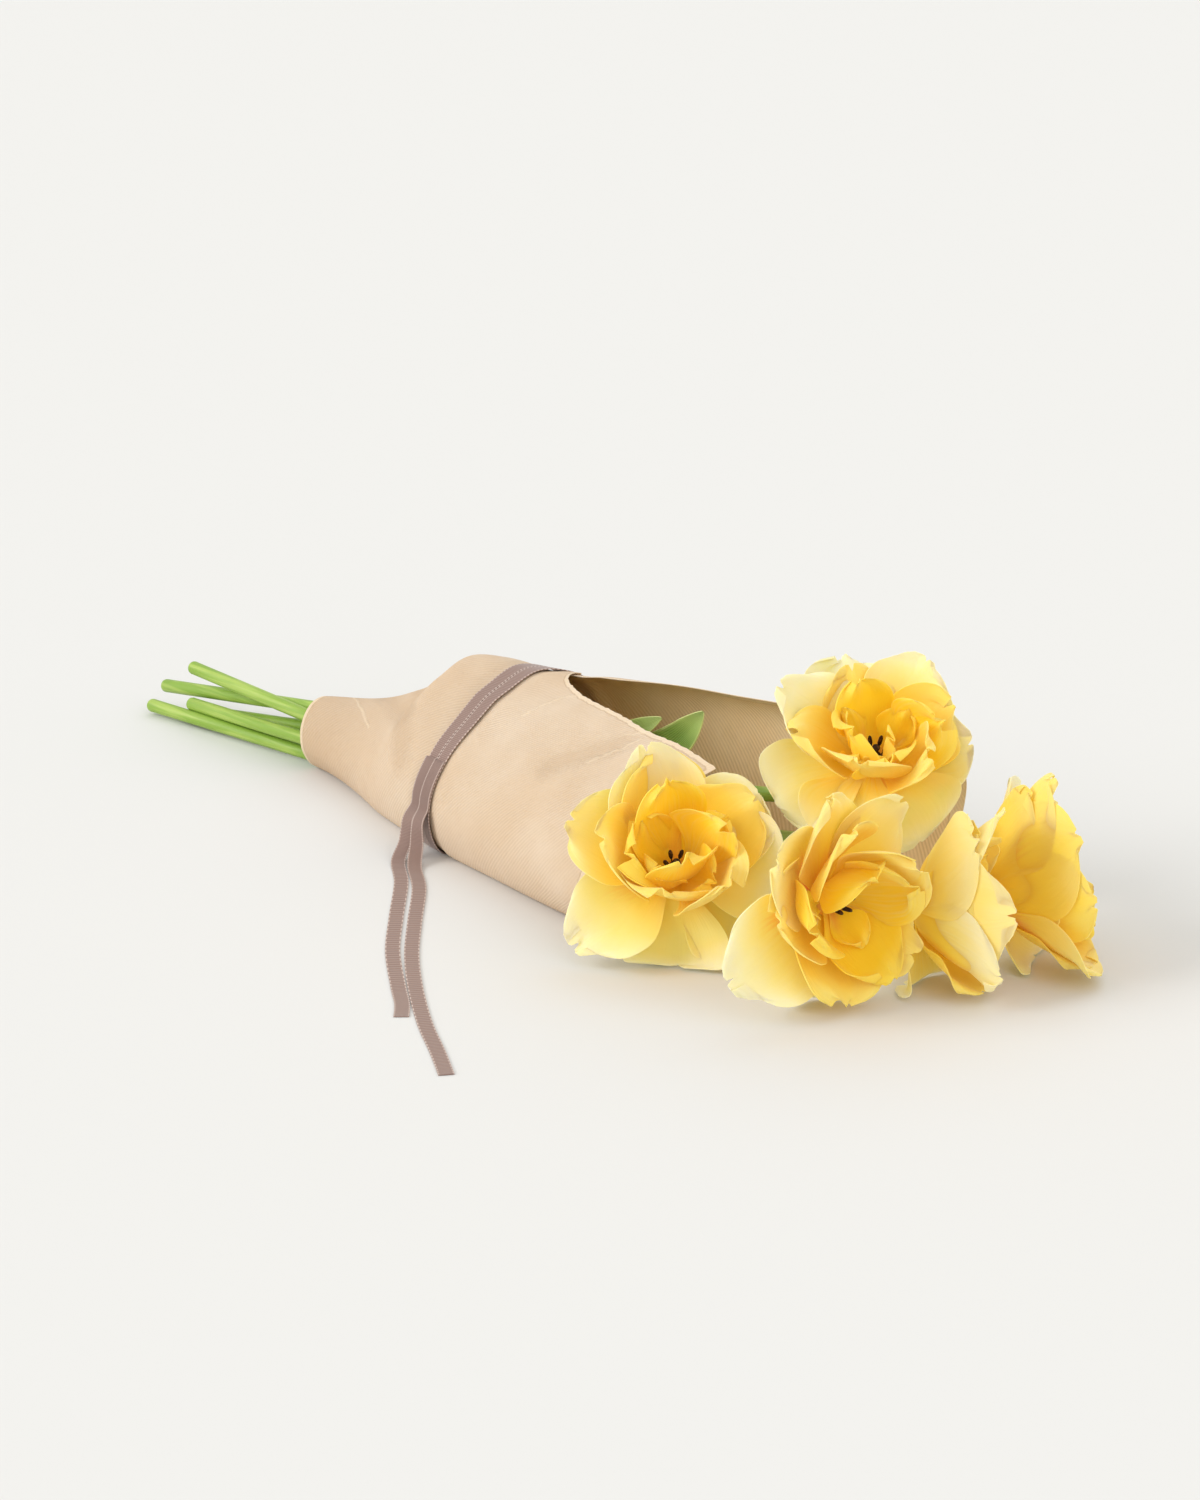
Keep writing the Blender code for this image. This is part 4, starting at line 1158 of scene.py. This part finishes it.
@dataclass
class PaperWrap:
    """The kraft sheet that is rolled round the stems, with its front flap folded over.

    Its section is a ring of places, (across, up) as shares of the wrap's half width and height.
    near and far are its half widths and top its height, and flap_edge, back_edge and mouth say
    where the sheet starts and ends on that ring, and along the bunch. stops are its rows up to
    the mouth. The tie pinches it by pinch, over tie_half to either side of tie_x, and lies
    aslant. The sheet's end goes under its start by underlap_depth.
    """

    near: Stations = ((0, 16), (60, 29), (100, 43), (150, 57), (200, 66), (284, 79), (365, 80),
                      (420, 78))
    far: Stations = ((0, 16), (60, 38), (100, 58), (150, 80), (200, 87), (284, 91), (420, 92))
    top: Stations = ((0, 41), (60, 54), (82, 66), (97, 81), (112, 83.5), (128, 82), (150, 82),
                     (190, 86), (250, 93.5), (300, 98), (420, 91))
    section: Stations = ((1.00, 0.55), (0.88, 0.85), (0.475, 1.00), (0.125, 0.93),
                         (-0.26, 0.80), (-0.66, 0.64), (-0.93, 0.43), (-0.98, 0.19),
                         (-0.80, 0.00), (-0.35, 0.00), (0.25, 0.00), (0.73, 0.00), (0.96, 0.17))
    neck_angles: tuple = (0, 40, 75, 105, 130, 155, 175, 200, 230, 255, 285, 315, 340)
    flap_edge: Stations = ((0, -0.7), (60, 0.1), (100, 0.7), (134, 1.2), (153, 1.45), (168, 2.2),
                           (186, 2.6), (228, 3.05), (268, 3.4), (304, 3.6), (330, 3.8))
    back_edge: Stations = ((0, 15.0), (100, 14.9), (140, 14.8), (160, 14.8), (190, 14.9),
                           (250, 14.3), (300, 14.35), (420, 14.1))
    mouth: Stations = ((0, 326), (0.22, 300), (0.34, 303), (0.435, 360), (0.5, 368), (0.6, 373),
                       (0.78, 390), (0.87, 398), (1, 410))
    stops: tuple = (0, 28, 58, 82, 98, 118, 134, 142, 150, 158, 166, 182)
    mouth_rows: int = 6
    thick: float = 0.7
    shown_thick: float = 0.4
    tie_x: float = 150.0
    tie_half: float = 9.0
    tie_fade: float = 8.0
    tie_slant: float = 13.0
    tie_slant_place: float = 2.0
    tie_slant_sharp: float = 1.5
    pinch: float = 1.5
    pinched_to: tuple[float, float] = (0.15, 0.5)
    neck_length: float = 90.0
    underlap_depth: float = 1.6
    underlap_place: tuple[float, float] = (9.5, 2.2)
    underlap_x: tuple[float, float] = (165.0, 20.0)
    near_edge: float = 7.0
    margin: float = 10.0
    ragged: float = 0.0006
    ragged_waves: Point = (410.0, 233.0, 61.0)
    cells: tuple[int, int] = (170, 150)

    def outline(self, x: np.ndarray, place: np.ndarray) -> np.ndarray:
        """The sheet's middle surface at a station x, at a place round its section."""
        angles = np.radians(self.neck_angles)
        neck = np.stack((np.cos(angles), 0.5 + 0.5 * np.sin(angles)), -1)
        opening = smooth_step(np.asarray(x) / self.neck_length)[..., None]
        section = np.array(self.section)
        ring = through(neck, place, True) * (1 - opening) + through(section, place, True) * opening
        half = np.where(ring[..., 0] < 0, curve_value(x, self.near), curve_value(x, self.far))
        return np.stack((ring[..., 0] * half, ring[..., 1] * curve_value(x, self.top)), -1)

    def slant(self, place: np.ndarray) -> np.ndarray:
        """How far the tie lies nearer to the neck, at a place round the section."""
        turn = 2 * math.pi * (place - self.tie_slant_place) / len(self.section)
        return self.tie_slant * (0.5 + 0.5 * np.cos(turn)) ** self.tie_slant_sharp

    def raised(self, x: np.ndarray, place: np.ndarray, height: np.ndarray) -> np.ndarray:
        """The section's (across, up) at a place, moved out from its middle by a height."""
        section = self.outline(x, place)
        across, up = self.pinched_to
        middle = np.stack((across * curve_value(x, self.far), up * curve_value(x, self.top)), -1)
        outward = section - middle
        radius = np.linalg.norm(outward, axis=-1, keepdims=True)
        return middle + outward * (1 + np.asarray(height)[..., None] / radius)

    def start_and_place(self, x: np.ndarray, turn: np.ndarray) -> tuple[np.ndarray, np.ndarray]:
        """Where the sheet starts round the section, and where a turn of it from 0 to 1 lies."""
        start = curve_value(x, self.flap_edge)
        return start, start + turn * (curve_value(x, self.back_edge) - start)

    def surface(self, turn: np.ndarray, row: np.ndarray) -> np.ndarray:
        """Points of the paper.

        Args:
            turn: From the flap's edge, 0, round to the back's edge, 1.
            row: From the neck, 0, to the mouth, 1.

        Returns:
            One point for each pair, in bunch millimetres.
        """
        last = len(self.stops) - 1
        step = row * (last + self.mouth_rows)
        straight = np.interp(step, np.arange(last + 1), self.stops)
        mouth_part = np.clip((step - last) / self.mouth_rows, 0, 1)
        x = straight + mouth_part * (curve_value(turn, self.mouth) - self.stops[-1])
        start, place = self.start_and_place(x, turn)
        away = np.abs(x + self.slant(place) - self.tie_x)
        tied = self.pinch * (1 - smooth_step((away - self.tie_half) / self.tie_fade))
        (steps_in, taken), (comes_out, faded) = self.underlap_place, self.underlap_x
        under = self.underlap_depth * smooth_step((place - start - steps_in) / taken)
        under = under * (1 - smooth_step((x - comes_out) / faded))
        section = self.raised(x, place, -tied - under)
        z = np.maximum(section[..., 1], self.thick / 2 + tied)
        return np.stack((x, section[..., 0], z), -1)

    def build(self, outside: bpy.types.Material,
              inside: bpy.types.Material) -> bpy.types.Object:
        """Makes the sheet, with the flat sheet's own metres in its UV map."""
        sheet, across, row = flat_sheet("wrap_paper", *self.cells)
        turn = (across + 1) / 2
        jagged = sum(np.sin(row * rate) for rate in self.ragged_waves)
        turn += self.ragged * jagged * np.clip(1 - turn * 40, 0, 1) * np.clip(row * 4, 0, 1)
        points = self.surface(turn, row)
        self._unroll(sheet, points)
        place_vertices(sheet, points)
        return thicken(sheet, self.shown_thick, 50, outside, inside)

    def _unroll(self, sheet: bpy.types.Object, points: np.ndarray) -> None:
        """Writes the flat sheet's metres to the UV map, and how near its edge a point lies."""
        columns, rows = self.cells
        grid = points.reshape(rows + 1, columns + 1, 3)
        steps = np.linalg.norm(np.diff(grid, axis=1), axis=-1)
        round_it = np.concatenate((np.zeros((rows + 1, 1)), np.cumsum(steps, axis=1)), axis=1)
        place = self.start_and_place(grid[..., 0], np.linspace(0, 1, columns + 1))[1]
        middle = [np.interp(self.near_edge, *pair) for pair in zip(place, round_it)]
        round_it -= np.array(middle)[:, None]
        metres = np.stack((round_it, grid[..., 0]), -1).reshape(-1, 2) * MM
        from_side = np.minimum(round_it - round_it[:, :1], round_it[:, -1:] - round_it)
        lengths = np.linalg.norm(np.diff(grid, axis=0), axis=-1)
        from_neck = np.vstack((np.zeros((1, columns + 1)), np.cumsum(lengths, axis=0)))
        from_end = np.minimum(from_neck, from_neck[-1:] - from_neck)
        inside = np.minimum(from_side, from_end) / self.margin
        set_values(sheet, edge=np.clip(inside, 0, 1).ravel())
        corners = np.empty(len(sheet.data.loops), dtype=int)
        sheet.data.loops.foreach_get("vertex_index", corners)
        sheet.data.uv_layers[UV_MAP].data.foreach_set("uv", metres[corners].ravel())


@dataclass
class RibbonTie:
    """The doubled ribbon: two turns side by side, and two loose ends on the floor.

    over is the stretch of the wrap's ring that a loose end lies on, and routes holds its knots
    from there, down the near side and along the floor.
    """

    wrap: PaperWrap
    width: float = 7.6
    thick: float = 0.5
    lift: float = 1.4
    spacing: float = 4.05
    tail_clear: float = 1.3
    over: tuple[float, float] = (5.2, 6.4)
    over_knots: int = 5
    twist_steps: int = 3
    floor_gap: float = 0.2
    columns: int = 4
    strand_rows: int = 260
    tail_rows: int = 220
    weld: float = 0.00001
    ring_points: int = 200
    path_points: int = 40
    routes: tuple = (
        ((145.9, -63.3, 21), (147, -66.6, 9), (152, -76, 1.5), (175, -94, 0), (210, -128, 0),
         (245, -161, 0), (281, -189, 0), (300, -203, 0), (312, -214, 0)),
        ((154.3, -63.9, 21), (156, -66.4, 9), (164, -75, 1.5), (188, -93, 0), (222, -126, 0),
         (256, -158, 0), (292, -187, 0), (327, -212, 0), (356, -230, 0), (379, -245, 0)),
    )

    def tie_point(self, x: np.ndarray, place: np.ndarray, lift: float) -> np.ndarray:
        """A point over the wrap's pinched outside: x is where the tie has it underneath."""
        x = x - self.wrap.slant(place)
        section = self.wrap.raised(x, place, self.wrap.thick / 2 + lift - self.wrap.pinch)
        z = np.maximum(section[..., 1], self.wrap.pinch - lift)
        return np.stack((x, section[..., 0], z), -1)

    def middle_x(self, index: int) -> float:
        """Where one of the two turns crosses the wrap's length."""
        return self.wrap.tie_x + (-self.spacing, self.spacing)[index]

    def build_strand(self, index: int, finish: RibbonFinish) -> bpy.types.Object:
        """Makes one closed turn of ribbon round the wrap."""
        name = f"ribbon_turn_{index + 1}"
        places = len(self.wrap.section)
        sheet, across, along = flat_sheet(name, self.columns, self.strand_rows)
        x = self.middle_x(index) + across * self.width / 2
        place_vertices(sheet, self.tie_point(x, along * places, self.lift))
        pick(sheet)
        bpy.ops.object.mode_set(mode="EDIT")
        bpy.ops.mesh.select_all(action="SELECT")
        bpy.ops.mesh.remove_doubles(threshold=self.weld)
        bpy.ops.object.mode_set(mode="OBJECT")
        ring = self.tie_point(np.full(self.ring_points, self.middle_x(index)),
                              np.linspace(0, places, self.ring_points), self.lift)
        return thicken(sheet, self.thick, 40, finish.material(name, line_length(ring) * MM))

    def tail_knots(self, index: int) -> np.ndarray:
        """A loose end's knots: its middle line and the way that its width runs."""
        lift = self.lift + self.thick + self.tail_clear
        over = self.tie_point(np.full(self.over_knots, self.middle_x(index)),
                              np.linspace(*self.over, self.over_knots), lift)
        knots = np.vstack((over, self.routes[index]))
        along_x = np.array((1.0, 0.0, 0.0))
        sides = [along_x] * len(over)
        for step in range(1, len(self.routes[index]) + 1):
            here = step + len(over) - 1
            ahead = knots[min(here + 1, len(knots) - 1)] - knots[here - 1]
            level = unit(np.array((-ahead[1], ahead[0], 0.0)))
            flat = smooth_step(step / self.twist_steps)
            sides.append(unit(level * flat + along_x * (1 - flat)))
        return np.hstack((knots, np.array(sides)))

    def build_tail(self, index: int, finish: RibbonFinish) -> bpy.types.Object:
        """Makes one loose end: off the wrap's near side and along the floor."""
        name = f"ribbon_end_{index + 1}"
        knots = self.tail_knots(index)
        sheet, across, along = flat_sheet(name, self.columns, self.tail_rows)
        place_vertices(sheet, self._ribbon_points(knots, across, along))
        line = self._ribbon_points(knots, np.zeros(self.path_points),
                                   np.linspace(0, 1, self.path_points))
        length = line_length(line) * MM
        thicken(sheet, self.thick, 40, finish.material(name, length))
        LOG.info("%s is %.0f mm long", name, length / MM)
        return sheet

    def _ribbon_points(self, knots: np.ndarray, across: np.ndarray,
                       along: np.ndarray) -> np.ndarray:
        """Points over the width of a loose end, no lower than the floor."""
        row = through(knots, along * (len(knots) - 1), closed=False)
        points = row[:, :3] + unit(row[:, 3:]) * (across * self.width / 2)[:, None]
        points[:, 2] = np.maximum(points[:, 2], self.floor_gap + self.thick / 2)
        return points


class Light(Enum):
    """The studio's soft lights: from where, how many degrees wide, strength and colour."""

    KEY = ((-1.8, -3.4, 2.1), 38.0, 1.6, (1.0, 0.985, 0.965))
    FILL = ((3.2, -0.4, 1.6), 60.0, 0.55, (0.97, 0.98, 1.0))
    BACK = ((-0.6, 2.2, 2.6), 60.0, 0.42, (1.0, 1.0, 1.0))


@dataclass
class Studio:
    """The pale floor, the soft lights and the camera."""

    floor_size: float = 24.0
    camera_place: Point = (1.3925, -1.3470, 0.7210)
    azimuth: float = 46.0
    elevation: float = 18.7
    lens: float = 93.5
    clip_start: float = 0.01
    aim: Point = (0.0, 0.0, 0.03)
    sky: tuple = linear(243, 242, 238)
    sky_strength: float = 0.86

    def build(self, finish: FloorFinish) -> None:
        """Sets up everything round the bunch."""
        self._camera()
        self._floor(finish)
        for light in Light:
            self._light(light)
        self._sky()

    def _camera(self) -> None:
        """The photograph's view."""
        turn = (math.radians(90 - self.elevation), 0.0, math.radians(self.azimuth))
        bpy.ops.object.camera_add(location=self.camera_place, rotation=turn)
        camera = bpy.context.object
        camera.data.lens = self.lens
        camera.data.clip_start = self.clip_start
        bpy.context.scene.camera = camera
        bpy.context.scene.view_settings.view_transform = "Standard"

    def _floor(self, finish: FloorFinish) -> None:
        """A plain floor, wide enough to fill the view."""
        deselect()
        bpy.ops.mesh.primitive_circle_add(vertices=64, radius=self.floor_size / 2,
                                          fill_type="NGON")
        floor = newest("floor")
        floor.data.materials.append(finish.material())

    def _light(self, light: Light) -> None:
        """One wide, even light, turned to the bunch."""
        place, degrees, strength, colour = light.value
        bpy.ops.object.light_add(type="SUN", location=place)
        lamp = newest(f"{light.name.lower()}_light")
        lamp.data.angle = math.radians(degrees)
        lamp.data.energy = strength
        lamp.data.color = colour
        heading = Vector(self.aim) - Vector(place)
        lamp.rotation_euler = heading.to_track_quat("-Z", "Y").to_euler()

    def _sky(self) -> None:
        """Even light from all round."""
        world = bpy.data.worlds.new("studio")
        world.use_nodes = True
        back = world.node_tree.nodes["Background"]
        back.inputs["Color"].default_value = self.sky
        back.inputs["Strength"].default_value = self.sky_strength
        bpy.context.scene.world = world


# Which way the wall between two heads faces, where it isn't the way from one to the other.
DIVIDES = {(3, 4): (-0.30, 0.92, -0.29), (4, 2): (-0.13, 0.96, -0.26)}
FLOOR_POINT = (0, 0, 0.4)
DOWN = (0, 0, -1)


def divide(head: Head, other: Head) -> None:
    """Keeps a head to its own side of the middle between it and another."""
    here, there = np.array(head.centre), np.array(other.centre)
    normal = DIVIDES.get((head.index, other.index))
    if normal is None:
        back = DIVIDES.get((other.index, head.index))
        normal = there - here if back is None else -np.array(back)
    head.keep_behind(0.5 * (here + there), normal, head.soft_margin)


def heads() -> list[Head]:
    """The five heads, each kept to its own room."""
    made = [
        Head(0, (353, -68, 55), (0.60, -0.50, 0.62), golden=1.06, core=RUFFLED_CORE, nod=(14, 90),
             outer=((352, 76, 82, 0.0), (42, 78, 82, 0.1), (104, 72, 48, 0.1),
                    (160, 70, 74, 0.5), (218, 80, 108, 0.1), (262, 84, 126, 0.0),
                    (310, 84, 124, 0.0)),
             walls=(((306, -66, 60), (-1, 0, 0)), ((350, -27, 35), (0.1, 0.9, -0.45)))),
        Head(1, (391, 35, 101), (0.50, -0.43, 0.74), golden=0.90, core=RUFFLED_CORE, nod=(14, 80),
             outer=((4, 84, 92, 0.0), (50, 76, 66, 0.2), (96, 88, 88, 0.0), (140, 68, 60, 0.1),
                    (200, 84, 104, 0.0), (240, 80, 92, 0.3), (300, 86, 108, 0.0)),
             walls=(((340, 70, 87), (-0.06, 1, -0.25)),)),
        Head(2, (475, 61, 43), (0.78, 0.52, 0.34), depth=26, scale=1.1, golden=1.02, nod=(6, 80),
             outer=((24, 72, 76, 0.0), (96, 56, 34, 0.7), (140, 58, 30, 0.8), (186, 52, 20, 0.8),
                    (228, 58, 36, 0.6), (270, 80, 110, 0.0)),
             walls=(((414, 76, 40), (-1, 0, 0)),)),
        Head(3, (452, -49, 54), (0.94, -0.06, 0.24), golden=1.06, core=OPEN_CORE, nod=(14, 215),
             outer=((100, 66, 44, 0.6), (142, 72, 60, 0.5), (200, 84, 110, 0.0),
                    (262, 86, 122, 0.0), (318, 80, 92, 0.2), (40, 72, 48, 0.4))),
        Head(4, (475, 13, 40), (0.88, 0.40, 0.16), depth=30, scale=1.06, golden=1.04, nod=(6, 100),
             outer=((126, 62, 34, 0.5), (168, 48, 18, 0.5), (210, 50, 26, 0.2),
                    (258, 80, 116, 0.0), (20, 74, 80, 0.1), (88, 54, 30, 0.4)),
             walls=(((440, 41, 30), (0.1, 1, -0.2)),)),
    ]
    for head in made:
        for other in made:
            if other is not head:
                divide(head, other)
        head.keep_behind(FLOOR_POINT, DOWN, head.margin)
        for point, normal in head.walls:
            head.keep_behind(point, normal, head.margin)
    return made


def stems(blooms: list[Head]) -> list[Stem]:
    """The five stems, with the leaves that grow from them."""
    return [
        Stem(blooms[0], (-115, -2.5, 33.4), (0, -4, 28.5), (130, -26, 38), (312, -36, 20),
             leaves=(Leaf(6, 80, (286, -32, 66), 20, (0.0, 0.3, 1.0)),)),
        Stem(blooms[1], (-149, 3, 13), (0, 4.5, 32.4), (130, 16, 52), (330, 44, 24),
             leaves=(Leaf(7, 50, (268, 36, 87), 25, (0.4, -0.8, 0.45)),
                     Leaf(6, 50, (243, 30, 79), 21, (0.4, -0.7, 0.6)))),
        Stem(blooms[2], (-144, -12, 5.5), (0, -1.5, 5.4), (140, 8, 7), (400, 42, 10),
             leaves=(Leaf(6, 90, (338, 70, 24), 22, (0.0, -0.5, 1.0)),)),
        Stem(blooms[3], (-114, -5.5, 11.8), (0, -6.5, 16), (140, -12, 16), (402, 4, 14),
             leaves=(Leaf(6, 90, (366, -46, 9), 22, (0.1, -0.2, 1.0)),)),
        Stem(blooms[4], (-118, 0.5, 5.0), (0, 5, 20), (130, 12, 26), (400, 20, 25)),
    ]


def keep(piece: bpy.types.Object, slot: str, *nodes: str) -> None:
    """Lets a piece ride with the bunch, in place of the nodes that it stands for."""
    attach(piece, BODY)
    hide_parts(*nodes)
    LOG.info("%s: %d faces", piece.name, len(piece.data.polygons))


def main() -> None:
    """Builds the studio, then the bunch round the frame: the ribbon's cords come first."""
    logging.basicConfig(level=logging.INFO, format="%(message)s")
    Studio().build(FloorFinish())
    wrap, ribbon = PaperWrap(), RibbonFinish()
    tie = RibbonTie(wrap)
    for index in range(2):
        keep(tie.build_tail(index, ribbon), "ribbon_mauve", f"ribbon_tail_{index + 1}")
        keep(tie.build_strand(index, ribbon), "ribbon_mauve", f"ribbon_strand_{index + 1}")
    silk, stalk = PetalFinish().material(), StemFinish().material()
    blade, brown = LeafFinish().material(), HeartFinish().material()
    knob = ReceptacleFinish().material()
    blooms = heads()
    for head in blooms:
        keep(head.build(silk), "petal_yellow", head.name)
        keep(head.build_receptacle(knob), "petal_yellow", head.name)
        keep(Heart(head).build(brown), "heart_brown", f"heart_{head.index + 1}")
    for stem in stems(blooms):
        node = f"stem_{stem.head.index + 1}"
        keep(stem.build(stalk), "stem_green", node)
        for number, leaf in enumerate(stem.leaves, 1):
            keep(leaf.build(f"{node}_leaf_{number}", stem.knots(), blade), "stem_green", node)
    keep(wrap.build(OUTSIDE.material(), INSIDE.material()), "paper_brown", "paper_wrap")


if __name__ == "__main__":
    main()
